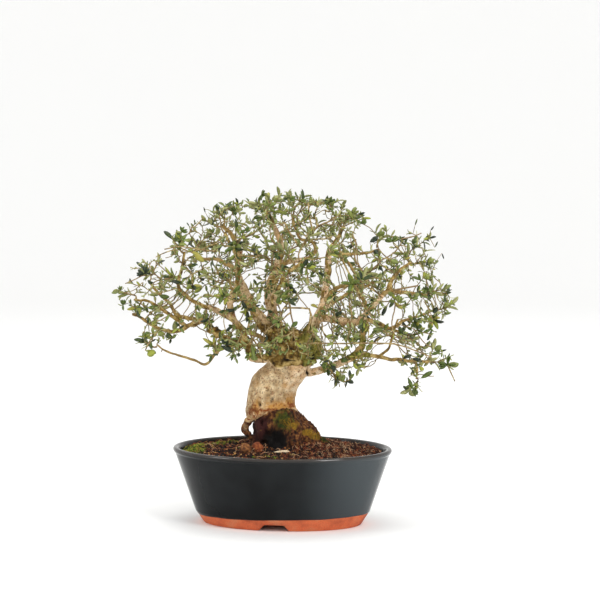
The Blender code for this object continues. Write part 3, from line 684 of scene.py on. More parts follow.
def tuftSurfaces(feet, ways, heights, radius):
    # moss shoots: each is a four-sided spike with a closed foot, which leans its own way
    across = unit(np.cross(ways, [0.3, 0.8, 0.1]))
    angle = fullTurn(4)[None, :, None]
    ring = np.cos(angle) * across[:, None] + np.sin(angle) * np.cross(ways, across)[:, None]
    middle = feet + ways * heights[:, None] * 0.45
    tips = (feet + ways * heights[:, None])[:, None]
    points = [feet[:, None] + ring * radius, middle[:, None] + ring * radius * 1.15, feet[:, None], tips]
    return np.concatenate(points, axis=1).reshape(-1, 3), closedFaces(2, 4, len(feet))


def makeSoilMoss(rng):
    # moss on the soil: spikes that stand up from it, leaning by chance, more of them in a patch's middle
    places = scatterOnSoil(rng, moss["soilTufts"] * 8)  # enough, as most fall outside the patches
    feet = np.column_stack([places, soilTop(places[:, 0], places[:, 1]) - 0.3])
    feet = feet[rng.uniform(size=len(feet)) < onPatches(feet, moss["soilPatches"])][:moss["soilTufts"]]
    ways = unit(rng.normal(0, 0.45, (len(feet), 3)) + [0, 0, 1])
    heights = rng.uniform(*moss["tuftHeight"], len(feet))
    points, faces = tuftSurfaces(feet, ways, heights, moss["tuftRadius"])
    tone = np.repeat(rng.uniform(size=len(feet)), 10)
    putMesh("soilMoss", points, faces, looseMaterial("livingMoss"), "moss", {"tone": tone}, ["soil"],
            smooth=False)


def icosahedron():
    # twelve points of the three golden rectangles, and their twenty faces
    g = (1 + math.sqrt(5)) / 2
    points = np.array([(-1, g, 0), (1, g, 0), (-1, -g, 0), (1, -g, 0), (0, -1, g), (0, 1, g), (0, -1, -g),
                       (0, 1, -g), (g, 0, -1), (g, 0, 1), (-g, 0, -1), (-g, 0, 1)]) / math.hypot(1, g)
    far = np.linalg.norm(points[:, None] - points[None], axis=2)
    near = (far > 0.1) & (far < 1.2)
    i, j, k = np.nonzero(near[:, :, None] & near[:, None, :] & near[None])
    faces = np.stack([i, j, k], axis=1)[(i < j) & (j < k)]
    outward = np.einsum("ij,ij->i", np.cross(points[faces[:, 0]], points[faces[:, 1]]), points[faces[:, 2]]) > 0
    faces[~outward] = faces[~outward][:, ::-1]
    return points, faces


def makeCrumbs(rng):
    # each crumb is an icosahedron whose points are pushed in or out by chance, and which is flattened by chance
    unitPoints, unitFaces = icosahedron()
    count = soil["crumbs"]
    places = scatterOnSoil(rng, count)
    size = rng.uniform(*soil["crumbRadius"], count) * rng.uniform(0.6, 1.0, count)
    shape = unitPoints[None] * rng.uniform(0.7, 1.3, (count, 12, 1)) * rng.uniform(0.6, 1.2, (count, 1, 3))
    height = soilTop(places[:, 0], places[:, 1]) + size * 0.3
    points = shape * size[:, None, None] + np.column_stack([places, height])[:, None]
    faces = [(unitFaces[None] + 12 * np.arange(count)[:, None, None]).reshape(-1, 3)]
    left = np.clip((-places[:, 0] - 35) / 15, 0, 1) * 0.1  # golden crumbs lie left of the roots
    tone = np.repeat(rng.beta(0.42, 0.75, count) + left, 12)
    putMesh("soilCrumbs", points, faces, looseMaterial("soilGranules"), "soil", {"tone": tone}, ["soil"],
            smooth=False)


def makeFibres(rng):
    # dry moss and bark fibres: thin tubes along short bent lines, lying on the soil, most on its right
    def keep(across, back):
        least = soil["fibresLeast"]
        grown = least + (across - soil["fibresFrom"]) / soil["fibresOver"]
        return np.clip(grown, least, 1) * np.where(back < 55, 1, 0.4)

    count = soil["fibres"]
    places = scatterOnSoil(rng, count, keep)
    length = rng.uniform(*soil["fibreLength"], count)
    turn = rng.uniform(0, 2 * math.pi, count)
    bend = rng.normal(0, 1.0, count)
    t = np.linspace(-0.5, 0.5, 5)
    heading = turn[:, None] + bend[:, None] * t
    x = places[:, :1] + length[:, None] * t * np.cos(heading)
    y = places[:, 1:] + length[:, None] * t * np.sin(heading)
    out = np.hypot(x / (pot["halfLength"] - 10), y / (pot["halfWidth"] - 10))
    pull = np.minimum(1, 0.985 / np.maximum(out, 1e-6))
    x, y = x * pull, y * pull
    arch = rng.uniform(0.2, 2.6, count)[:, None] * (1 - 4 * t**2) + rng.uniform(-0.3, 0.9, count)[:, None]
    lift = rng.normal(0, 1.1, count)[:, None] * t * 2
    z = soilTop(x, y) + np.maximum(arch + lift, 0.0) + 0.1
    paths = np.stack([x, y, z], axis=-1)
    radii = soil["fibreRadius"] * rng.uniform(0.6, 1.7, count)[:, None] * (1 - 0.8 * np.abs(t) * 1.2)
    points, faces = tubeSurfaces(paths, radii, 3)
    tone = np.repeat(rng.beta(0.55, 0.8, count), 5 * 3 + 2)
    putMesh("soilFibres", points, faces, looseMaterial("driedMossFibre"), "soil", {"tone": tone}, ["soil"])


def pottingSoil():
    # damp potting soil of bark and akadama: near-black in the hollows of its fine bump, painted shade over its
    # own dark brown, warm brown on top, green where moss starts
    material, tree, place = startMaterial("dampPottingSoil", Roughness=0.95, IOR=1.4)
    clods = addNode(tree, "TexNoise", links={"Vector": place, "Scale": 230.0, "Detail": 6.0, "Roughness": 0.65})
    # painted shade: the noise that makes the bump also colours it, near-black in its hollows
    stops = [(0.49, soilColours["dark"]), (0.57, soilColours["brown"]), (0.65, soilColours["red"]),
             (0.76, soilColours["gold"])]
    colour = addNode(tree, "ValToRGB", links={"Fac": clods}, stops=stops)
    green = addNode(tree, "Attribute", {"attribute_name": "moss"}).outputs["Fac"]
    colour = layerColours(tree, colour, [(green, soilColours["moss"])])
    return finishMaterial(material, clods, 0.9, 0.0012, Base_Color=colour)


looseStuff = {  # name: (colours by tone, roughness, scale of its grain, depth of its bump in metres)
    # crumbs of baked clay and bark: most dark brown, some rust, a few pale
    "soilGranules": ([(0.1, "#0a0402"), (0.45, "#34190c"), (0.72, "#9c5a26"), (0.97, "#e2ab64")],
                     0.92, 900.0, 0.0003),
    # living moss: shoots from dark bottle green to yellow-green, with a few dried golden ones
    "livingMoss": ([(0.05, "#263409"), (0.4, "#587418"), (0.7, "#90a32e"), (0.95, "#b9a340")],
                   0.8, 500.0, 0.0002),
    # moss on the roots, half dried: dark olive to bronze
    "halfDriedMoss": ([(0.05, "#1a1e09"), (0.45, "#41460f"), (0.75, "#77741a"), (0.95, "#a68f2d")],
                      0.85, 500.0, 0.0002),
    # dried moss and bark fibres: rust and chestnut with some straw-coloured ends
    "driedMossFibre": ([(0.1, "#180805"), (0.42, "#521f10"), (0.68, "#ad5830"), (0.93, "#e6bd92")],
                       0.85, 700.0, 0.0002),
}


def looseMaterial(name):
    # a matte natural stuff whose pieces differ: each piece's tone picks its colour, a fine grain mottles it
    stops, roughness, grain, depth = looseStuff[name]
    material, tree, place = startMaterial(name, Roughness=roughness, IOR=1.45)
    fine = addNode(tree, "TexNoise", links={"Vector": place, "Scale": grain, "Detail": 3.0})
    colour = addNode(tree, "ValToRGB", links={"Fac": shiftedTone(tree, fine, 0.5, 0.25)}, stops=stops)
    return finishMaterial(material, fine, 0.6, depth, Base_Color=colour)


def lumpySurface(middle, halves, turn, lumps, seed, taper, rings=30, sides=44):
    # an ellipsoid from pole to pole, each point's distance scaled by layered noise, made thinner towards one
    # end by taper and turned about the upright
    level = np.cos(np.linspace(math.pi * 0.97, math.pi * 0.03, rings))
    angle = fullTurn(sides)
    wide = np.sqrt(1 - level**2)[:, None]
    ball = np.stack([wide * np.cos(angle), wide * np.sin(angle), level[:, None] + 0 * angle], axis=-1)
    ball = ball * (1 + lumps * layeredNoise(ball, 0.9, 4, seed)[..., None]) * halves
    ball[..., 1:] *= (1 - taper * (0.5 - 0.5 * ball[..., :1] / halves[0]))
    c, s = math.cos(turn), math.sin(turn)
    return closedGrid(ball @ np.array([[c, s, 0], [-s, c, 0], [0, 0, 1]]) + middle)


def makeStones():
    for node, (name, slot, place, halves, turn, lumps, seed, taper, lift, look) in stones.items():
        x, y = inPotFrame(*place)
        middle = (x, y, soilHeight(x, y) + halves[2] * (1 - 2 * stoneSunk) + lift)
        points, faces = lumpySurface(middle, halves, math.radians(turn), lumps, seed, taper)
        putMesh(name, points, faces, mottledLump(*look), slot, replaced=[node])
    for node in ("drain_screen_left", "drain_screen_right"):
        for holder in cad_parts[node].material_slots:
            holder.material = screenPlastic()
    print("stones ready")


def mottledLump(name, dark, middle, pale, grain):
    # a rough natural lump: three tones mottled by noise, with a deep bump
    material, tree, place = startMaterial(name, Roughness=0.9, IOR=1.52)
    mottle = addNode(tree, "TexNoise", links={"Vector": place, "Scale": grain, "Detail": 6.0, "Roughness": 0.7})
    colour = addNode(tree, "ValToRGB", links={"Fac": mottle}, stops=[(0.32, dark), (0.5, middle), (0.7, pale)])
    return finishMaterial(material, mottle, 0.8, 0.0008, Base_Color=colour)


def screenPlastic():
    # moulded black polypropylene mesh, slightly glossy with a faint moulding texture
    black = linearColour("#17191a")
    material, tree, place = startMaterial("mouldedPolypropylene", Base_Color=black, Roughness=0.45, IOR=1.49)
    skin = addNode(tree, "TexNoise", links={"Vector": place, "Scale": 1500.0, "Detail": 1.0})
    return finishMaterial(material, skin, 0.2, 0.0002)


makeSoil()
makeStones()

# Tree: trunk, root base, roots and limbs

trunk = {
    "rings": [  # height, middle across, middle back, half width, half depth in the front view
        (109, -15, 0, 12, 11), (113, -15, 0, 21, 18), (118, -13, 0, 26, 22), (127, -13.5, 0, 26, 23),
        (137, -12, 0, 25.6, 23), (147, -9.5, 0, 26, 22.5), (156, -4.5, 0, 28, 23), (164, 1.5, 1, 27, 22.5),
        (172, 8, 3, 24, 21.5), (181, 12, 3, 26.5, 23), (190, 14.5, 2, 28, 24.5), (198, 15.5, 1, 24, 22),
        (205, 14, 0, 14, 14)],
    "rootRings": [
        (46, 2, 2, 22, 20), (62, 3, 2, 30, 26), (77, 4, 2, 36, 29), (84, 4, 1, 35, 28), (91, 2, 1, 33, 27.5),
        (98, 2.5, 0, 31.5, 26.5), (106, 0.5, -1, 29.5, 25.5), (113, -1, -2, 24, 23.5),
        (118, 1, -4, 17.5, 21.5), (122, 3, -6, 12.5, 18.5), (125, 3, -6, 7, 12)],
    "lobes": [  # direction and half width in degrees, reach at the soil in mm
        (0, 25, 12), (42, 7, 13), (82, 5, 12), (122, 8, 13), (170, 5, 12), (208, 6, 12), (248, 8, 13),
        (292, 6, 13), (328, 9, 11)],
    "lobeTop": 116.0,
    "lumps": [(3, 0.030, 0.055), (5, 0.022, 0.11), (8, 0.012, 0.19)],  # waves round, share, turn per mm
    "limbTaper": 0.85,  # below 1, a limb thins fastest where it leaves the trunk
    "voxel": 1.1,
    "meltSteps": 5,
    "coreRadius": 2.3,  # limbs thicker than this are melted into the trunk
}
clearRoots = {
    "rootLoop": ((3.3, 2.8), [
        (-29, 115, -5), (-36, 110, -7), (-39, 105, -8), (-39.3, 101, -9), (-37, 96.5, -9), (-30, 91, -9)]),
    "rootColumn": ((3.4, 4.2), [(-22, 116, -12), (-25, 108, -15), (-22, 99, -17), (-19, 89, -18)]),
}
limbs = {  # name: (half thickness at both ends, route as across, up, back in the front view)
    "leftLow": ((4.0, 1.8), [
        (-2, 177.5, -8), (-30, 178, -16), (-35, 189, -20), (-41, 204, -24), (-51, 220, -28),
        (-55, 238, -32), (-49, 256, -36), (-45, 275, -42), (-51, 296, -48), (-60, 312, -52)]),
    "leftFar": ((3.8, 1.5), [
        (-38, 196, -22), (-48, 193.5, -8), (-56, 194.5, 2), (-64.5, 201.5, 10), (-75, 208.5, 15),
        (-85, 217, 20), (-102, 210, 24), (-118, 205, 27), (-133, 209, 30), (-149, 218, 34), (-160, 224, 38)]),
    "leftCross": ((3.2, 1.8), [
        (2, 184, 2), (-8, 187.5, 2), (-20, 198.6, 0), (-37.7, 208, -8), (-51, 220, -26)]),
    "leftHigh": ((2.3, 1.2), [
        (-102, 210, 24), (-122, 225, 18), (-134, 233, 14), (-144, 238, 12), (-158, 240, 16)]),
    "leftFork": ((2.4, 1.3), [
        (-85, 217, 20), (-102, 220, 22), (-113.5, 225, 20), (-119, 234.5, 18), (-126, 241, 14),
        (-134, 249, 10), (-143, 260, 6)]),
    "leftTrail": ((1.9, 0.9), [
        (-48, 193.5, -8), (-58, 190, -10), (-70, 184, -12), (-81, 172, -14), (-93, 176, -18),
        (-109, 181, -20), (-123, 186, -22), (-134, 193, -22)]),
    "leftMid": ((3.0, 1.3), [
        (-51, 220, -28), (-72, 231, -34), (-86, 236, -38), (-99, 243, -40), (-110, 256, -38),
        (-107, 275, -30), (-103, 292, -22)]),
    "leftLead": ((5.6, 1.8), [
        (6, 190, 2), (-21, 213, 4), (-32, 234, 6), (-42, 255, 8), (-48, 271, 8), (-45, 293, 4),
        (-54, 309, 2), (-64, 320, 0)]),
    "leftArm": ((2.6, 1.3), [(-48, 271, 8), (-66, 281, 16), (-83, 283, 22), (-97, 290, 26)]),
    "middleLead": ((6.2, 2.0), [
        (12, 190, 0), (-4, 212, -2), (-13, 236, -4), (-13, 255, -6), (-5, 277, -6), (-1, 298, -4),
        (-9, 320, -2), (-15, 334, -2)]),
    "middleTop": ((2.8, 1.3), [
        (-5, 277, -6), (10, 281, -2), (24, 282.5, 3), (34, 288, 6), (36, 297, 8), (30, 303, 8),
        (20, 305, 8), (14, 318, 10), (10, 330, 12)]),
    "rightLead": ((5.4, 1.9), [
        (20, 190, 0), (32, 212, 2), (43, 231, 6), (46, 250, 8), (49, 271, 10), (50, 290, 10),
        (59, 304, 8), (66, 318, 6)]),
    "rightTop": ((2.2, 1.2), [(50, 290, 10), (70, 287, 22), (89, 289, 30), (103, 293, 34)]),
    "rightBough": ((3.9, 1.5), [
        (38, 222, 4), (60, 219, -8), (78, 217, -18), (92, 228, -24), (103, 241, -28), (114, 250, -30),
        (128, 250, -30), (143, 248, -28), (156, 245, -26)]),
    "rightHigh": ((2.8, 1.4), [(114, 250, -30), (118, 262, -22), (126, 272, -14), (138, 281, -8)]),
    "rightLow": ((4.5, 1.5), [
        (8, 160, 2), (31, 162.5, -2), (49.8, 167.5, -4), (67, 174, -6), (81, 181.5, -6), (88, 182, -4),
        (103, 178.6, 2), (131, 174.6, 10), (157, 173, 18)]),
    "rightRiser": ((3.2, 1.5), [
        (73, 177, -6), (85, 189, -2), (87, 203, 4), (90, 219, 12), (89, 233, 20), (84.6, 246.6, 26),
        (78, 266.6, 32), (63, 289, 36)]),
    "rightMid": ((2.6, 1.3), [(90, 219, 12), (101, 215, 20), (116, 208, 28), (131, 202, 34)]),
    "rightFar": ((2.0, 1.2), [(116, 208, 28), (131, 216, 36), (148, 222, 42), (164, 228, 46)]),
    "rightDrop": ((1.2, 0.9), [(143, 174, 14), (145, 163, 12), (144, 155, 10)]),
    "rightSpur": ((1.6, 1.0), [(103, 178.6, 2), (115, 190, -10), (119, 204, -18), (124.6, 220, -22)]),
    "backLeft": ((4.0, 1.6), [(4, 192, 8), (-22, 222, 34), (-48, 250, 62), (-70, 266, 86)]),
    "backMiddle": ((4.6, 1.6), [(10, 190, 8), (-6, 214, 30), (-10, 244, 58), (6, 288, 84)]),
    "backRight": ((4.0, 1.6), [(20, 190, 8), (34, 214, 34), (56, 236, 62), (98, 256, 86)]),
    "frontLeft": ((3.4, 1.6), [(6, 192, -8), (-16, 216, -36), (-38, 240, -64), (-54, 256, -84)]),
    "frontMiddle": ((3.8, 1.6), [
        (12, 190, -8), (-2, 212, -30), (-8, 240, -56), (4, 268, -74), (22, 284, -80)]),
    "frontRight": ((3.6, 1.6), [
        (22, 192, -8), (33, 212, -30), (45, 240, -52), (62, 256, -70), (84, 262, -84)]),
}
limbLook = {
    "oldMiddle": (12, 196),  # limbs are mossy round here in the front view, up to oldReach
    "oldReach": 46.0,
    "knuckles": 0.22,  # share of the radius that they add
    "collar": (0.35, 5.0),  # share of the radius added where a limb leaves, and how far it reaches
    "wander": 1.1,
    "roughness": (3.2, 0.16),  # width and depth of the bark's noise
}
barkZones = {  # places as across, up in the front view
    "moundTop": [(-32, 109.5), (-17, 119.5), (1, 124.5), (13, 121.8), (24, 117), (44, 109)],
    "crownFoot": [
        (-22, 178), (-15, 175.5), (-5.4, 168), (1, 167), (11, 171), (18, 170), (28, 168.5), (44, 175)],
    "crownTop": 222,
    "knotHalves": (1.8, 1.8),
    "rimHalves": (4.2, 3.6),
    "knots": [(-23.6, 127.8, 1.5), (-10.7, 134.2, 0.9), (-15, 143.9, 0.9)],  # and how strong
    "hollow": (-7.0, 87.5, 11.5, 12.5),  # middle and halves of the hollow between the roots, which is deepened and painted dark with shade
    "scar": (27.2, 161, 1.1, 6.0),
    "paleRoot": (-39, 104, 5.5, 8.5),
    "burgundy": (-24, 103, 10, 17),
    "green": [(2, 112, 9, 10), (46.6, 90.6, 4.5, 4)],
    "gold": [(12.9, 105.3, 4.6, 4.4), (27, 98, 6, 3.2), (36, 94, 7, 3.2)],
    "rust": [(-31, 120, 7, 10), (-20, 117, 8, 4.5), (-8, 122, 20, 3.0), (9, 127, 9, 4.5)],
    "ochre": [(-27, 124, 7, 11), (-6, 127, 17, 7), (9, 133, 10, 10), (20, 128, 5, 5)],
}
bark = {
    # the left tones are the bark's grey hue with painted shade, the right tones its warmer hue with painted
    # light, as the right side is the lit one
    "greyShadedLeftDark": "#a98b62", "left": "#ccb087", "greyShadedLeftPale": "#e8d2aa",
    "warmLitRightDark": "#d8ae7e", "right": "#f2d2a8", "warmLitRightPale": "#fde9c8",
    # black is painted shade for the dark zone
    "speck": "#4b3522", "ochre": "#bb8742", "rust": "#7c3f1b", "burgundy": "#351512", "black": "#130d0a",
    "rootDark": "#170c07", "root": "#502a15", "rootPale": "#8a5c30",
    "green": "#2b340f", "greenPale": "#4a5018", "gold": "#8c681c",
    "crownDark": "#25180a", "crown": "#755a24", "crownPale": "#bda368", "crownGreen": "#74762c",
    "limbPale": "#d2ba7a", "limbTan": "#90722e", "limbDark": "#44320c", "limbPink": "#a3854e",
    "twigPale": "#ccb984", "twigGold": "#8a7138", "twigPink": "#927856", "twigDark": "#3a2d17",
}


def bodyGrid(rows, sides, steps, lobes):
    # ovals whose height, middle and halves run smoothly through the rows; lumps are waves round the trunk that
    # turn with height, lobes are bell curves round it that grow towards the soil
    rows = smoothRoute(rows, steps)
    height, across, back, halfWidth, halfDepth = rows.T[:, :, None]
    angle = fullTurn(sides)[None]
    lumps = 1 + sum(share * np.sin(waves * angle + height * turn) for waves, share, turn in trunk["lumps"])
    low = np.clip((trunk["lobeTop"] - height) / (trunk["lobeTop"] - soil["edge"]), 0, 1) ** 1.6
    reach = 0 * lumps
    for direction, length, width in lobes:
        away = (np.degrees(angle) - direction + 180) % 360 - 180
        reach = reach + length * low * np.exp(-((away / width) ** 2))
    u = across + (halfWidth * lumps + reach) * np.cos(angle)
    v = back + (halfDepth * lumps + reach) * np.sin(angle)
    return np.stack([*inPotFrame(u, v), height + 0 * u], axis=-1)


def limbPath(thickness, points, step=1.7):
    # a limb's smooth route and its half thicknesses, which fall a little faster at first
    route = fromFront(points)
    count = max(int(lengthsAlong(route)[0].sum() / step), 8)
    path = smoothRoute(route, count)
    along = np.linspace(0, 1, count) ** trunk["limbTaper"]
    return path, thickness[0] + (thickness[1] - thickness[0]) * along


def makeLimbs():
    # every limb is a round tube with a collar where it leaves, knuckles by noise and a slight wander
    made, tones, shares = [], [], []
    for number, (thickness, points) in enumerate(limbs.values()):
        path, radii = limbPath(thickness, points)
        reached = lengthsAlong(path)[1]
        line = np.stack([reached, 0 * reached + 37.0 * number, 0 * reached], axis=-1)
        knuckles = softNoise(line, 5.0, 3) - 0.5 + 0.6 * (softNoise(line, 2.2, 5) - 0.5)
        collar = limbLook["collar"][0] * np.exp(-reached / limbLook["collar"][1])
        wander = noiseVectors(line, 9.0, 3, 7, (0, 50, 90))
        fade = np.clip(reached / 15, 0, 1)[:, None]
        path = path + wander * fade * np.minimum(radii, 1.6)[:, None] * limbLook["wander"]
        radii = radii * (1 + collar + limbLook["knuckles"] * knuckles)
        points, faces = tubeSurfaces(path[None], radii[None], 12)
        made.append((points, faces))
        tones.append(np.full(len(points), (number * 0.37) % 1.0))
        across, up, _ = toFront(points).T
        away = np.hypot(across - limbLook["oldMiddle"][0], up - limbLook["oldMiddle"][1])
        shares.append(np.clip(1.2 - away / limbLook["oldReach"], 0, 1))
    points, faces = joinParts(made)
    putMesh("treeLimbs", roughen(points, *limbLook["roughness"]), faces, limbBark(), "bark",
            {"tone": np.concatenate(tones), "old": np.concatenate(shares)}, ["tree"])


def joinParts(parts):
    # several parts' points one after another, with their faces counted on
    start, points, faces = 0, [], []
    for partPoints, partFaces in parts:
        points.append(partPoints)
        faces.append([part + start for part in partFaces])
        start += len(partPoints)
    joined = [np.vstack([part[i] for part in faces]) for i in range(len(faces[0]))]
    return np.vstack(points), joined


def roughen(points, cell, depth):
    # each point moves by its own three noises
    return points + noiseVectors(points, cell, 2, 31, (0.0, 71.0, 143.0)) * depth * 2


def makeCore():
    # trunk, root base and the thick ends of the limbs are melted into one skin: remeshed on a grid and smoothed
    grids = [closedGrid(bodyGrid(trunk["rings"], 72, 110, [])),
             closedGrid(bodyGrid(trunk["rootRings"], 120, 90, trunk["lobes"]))]
    for thickness, points in {**limbs, **clearRoots}.values():
        path, radii = limbPath(thickness, points)
        thick = int(np.sum(radii >= trunk["coreRadius"]))
        if thick < 8:
            continue
        path, radii = path[:thick], radii[:thick] + 0.35
        if thick < len(path) + 1 and thickness[1] < trunk["coreRadius"]:
            radii = radii - np.clip((np.arange(thick) - thick + 7) / 7, 0, 1) * 1.5
        grids.append(tubeSurfaces(path[None], radii[None], 16))
    points, faces = joinParts(grids)
    core = putMesh("treeTrunk", points, faces, trunkBark(), "bark", replaced=["tree"])
    melt = core.modifiers.new("melt", "REMESH")
    melt.mode = "VOXEL"
    melt.voxel_size = trunk["voxel"] * mm
    smooth = core.modifiers.new("smooth", "SMOOTH")
    smooth.factor = 0.5
    smooth.iterations = trunk["meltSteps"]
    applyModifiers(core)
    carveBark(core)


def bells(across, up, places):
    # the highest of several bells, each with its middle and halves in the front view
    return np.max([np.exp(-((across - place[0]) / place[2]) ** 2 - ((up - place[1]) / place[3]) ** 2)
                   for place in places], axis=0)


def carveBark(core):
    # the melted skin gets its relief along its normals, and each point the shares of its colour zones
    mesh = core.data
    count = len(mesh.vertices)
    points = np.empty(count * 3)
    mesh.vertices.foreach_get("co", points)
    points = points.reshape(-1, 3) / mm
    normals = np.empty(count * 3)
    mesh.vertices.foreach_get("normal", normals)
    normals = normals.reshape(-1, 3)
    across, up, back = toFront(points).T
    facing = np.clip(0.5 - back / 16, 0, 1)  # 1 on the side that the front view sees
    edge = layeredNoise(points, 8.0, 3, 61)
    torn = layeredNoise(points, 2.4, 2, 67)
    moundTop = np.interp(across, *zip(*barkZones["moundTop"]))
    crownFoot = np.interp(across, *zip(*barkZones["crownFoot"]))
    mound = np.clip((moundTop - up) / 2.0 + 0.5 + 1.2 * torn, 0, 1)
    crown = np.clip((up - crownFoot) / 2.5 + 0.5 + 1.6 * edge, 0, 1)
    crown *= np.clip((barkZones["crownTop"] - up) / 14, 0, 1)
    smoothBark = (1 - mound) * (1 - crown)
    wide = layeredNoise(points, 13.0, 3, 41)
    rough = layeredNoise(points, 6.5, 4, 43)
    ridged = 0.35 - np.abs(layeredNoise(points * (1, 1, 0.45), 9.0, 3, 47))
    fibrous = layeredNoise(points * (1, 1, 0.22), 2.4, 2, 59)
    fine = layeredNoise(points, 3.0, 2, 53)
    burrs = np.abs(layeredNoise(points, 9.0, 2, 83))
    pits = np.clip(softNoise(points * (1, 1, 0.6), 2.3, 91) - 0.68, 0, 1) * np.clip(0.9 - across / 30, 0.15, 1)
    holes = crown * np.clip(softNoise(points, 4.5, 15) - 0.6, 0, 1) * 2.4
    # in mm, each zone its own mixture
    relief = (smoothBark * (0.8 * wide + 0.7 * fine - 4.0 * pits)
              + mound * (2.4 * ridged + 1.6 * rough + 2.6 * fibrous)
              + crown * (2.6 * rough + 6.5 * burrs + 1.6 * fine - 2.5 * holes))
    mound *= 1 - 0.6 * bells(across, up, [barkZones["paleRoot"]])
    hollow = bells(across, up, [barkZones["hollow"]]) * facing * mound
    knots, rims = (np.max([strength * bells(across, up, [(u, v, *halves)])
                           for u, v, strength in barkZones["knots"]], axis=0)
                   for halves in (barkZones["knotHalves"], barkZones["rimHalves"]))
    scar = bells(across + 4 * edge, up, [barkZones["scar"]]) * facing
    relief += facing * (1.0 * rims - 2.4 * knots) - 7.5 * hollow - 1.2 * scar
    # a rounded shelf where the smooth trunk overhangs the root base
    relief += 1.3 * np.exp(-((up - moundTop - 3) / 3.5) ** 2) * (1 - mound)
    points = points + normals * relief[:, None]
    mesh.vertices.foreach_set("co", (points * mm).ravel())
    zones = {
        "mound": mound,
        "crown": crown,
        # painted light: the lit right side is made paler and warmer, less so low down
        "right": np.clip((across + 2 + 9 * edge) / 16, 0, 1) * np.clip((up - 126) / 16, 0.2, 1),
        "ochre": np.clip(1.1 * bells(across, up, barkZones["ochre"]) + 0.9 * edge - 0.1, 0, 0.9) * (1 - mound),
        "rust": np.clip(0.9 * bells(across, up, barkZones["rust"]) + 1.3 * torn, 0, 0.8) * (1 - mound * 0.6),
        "burgundy": mound * np.clip(1.3 * bells(across, up, [barkZones["burgundy"]]) + 0.6 * edge, 0, 1),
        "green": mound * np.clip(1.3 * bells(across, up, barkZones["green"]) + 0.7 * fibrous, 0, 1),
        "gold": np.clip(1.3 * bells(across, up, barkZones["gold"]) + 0.8 * torn, 0, 1) * mound,
        "lush": crown * np.clip((across - 8) / 16 + 1.8 * edge, 0, 1) * 0.55,
        # painted shade: the hollow, the scar, knot holes, pits and the crown's holes are made near-black where
        # shadow falls, the hollow and knots only on the side the front view sees
        "dark": np.clip(1.6 * hollow + 0.9 * scar + 0.4 * facing * knots + 1.6 * pits * smoothBark + holes,
                        0, 1),
        # painted shade and light: the relief, lowered further in the pits, darkens the colour in hollows and
        # lightens it on ridges
        "relief": relief / 4 + 0.5 - 0.35 * smoothBark * pits,
    }
    for title, values in zones.items():
        mesh.attributes.new(title, "FLOAT", "POINT").data.foreach_set("value", values)
    mesh.shade_smooth()
    mesh.update()
    growRootMoss(points, normals, zones)


def growRootMoss(points, normals, zones):
    # moss shoots stand out from the bark where its zones are green or gold, and sparsely on the crown's base
    rng = np.random.default_rng(35)
    onRoot = np.maximum(zones["green"], 0.5 * zones["gold"]) * (1 - zones["dark"]) * (1 - zones["burgundy"])
    onCrown = zones["crown"] * np.clip(softNoise(points, 6.0, 5) - 0.45, 0, 1) * 2
    picked = [rng.choice(len(points), count, p=share / share.sum())
              for share, count in ((onRoot**2, moss["rootTufts"]), (onCrown, moss["crownTufts"]))]
    which = np.concatenate(picked)
    ways = unit(normals[which] + rng.normal(0, 0.35, (len(which), 3)) + [0, 0, 0.35])
    shorter = np.repeat([0.7, 0.6], [len(part) for part in picked])
    heights = rng.uniform(*moss["tuftHeight"], len(which)) * shorter
    shapes, faces = tuftSurfaces(points[which] - normals[which] * 0.2, ways, heights, moss["tuftRadius"] * 0.8)
    tone = np.clip(zones["gold"][which] * 0.3 + rng.uniform(-0.1, 0.35, len(which)), 0, 1)
    putMesh("rootMoss", shapes, faces, looseMaterial("halfDriedMoss"), "moss", {"tone": np.repeat(tone, 10)},
            ["tree"], smooth=False)


def brokenShare(tree, share, low, high, place, grain, depth=0.5):
    # a zone's share, broken up by a noise of that grain and depth
    broken = addNode(tree, "TexNoise", links={"Vector": place, "Scale": grain, "Detail": 4.0})
    mixed = addNode(tree, "Math", {"operation": "MULTIPLY_ADD"}, {0: broken, 1: depth, 2: share})
    return addNode(tree, "MapRange", links={"Value": mixed, "From Min": low, "From Max": high})


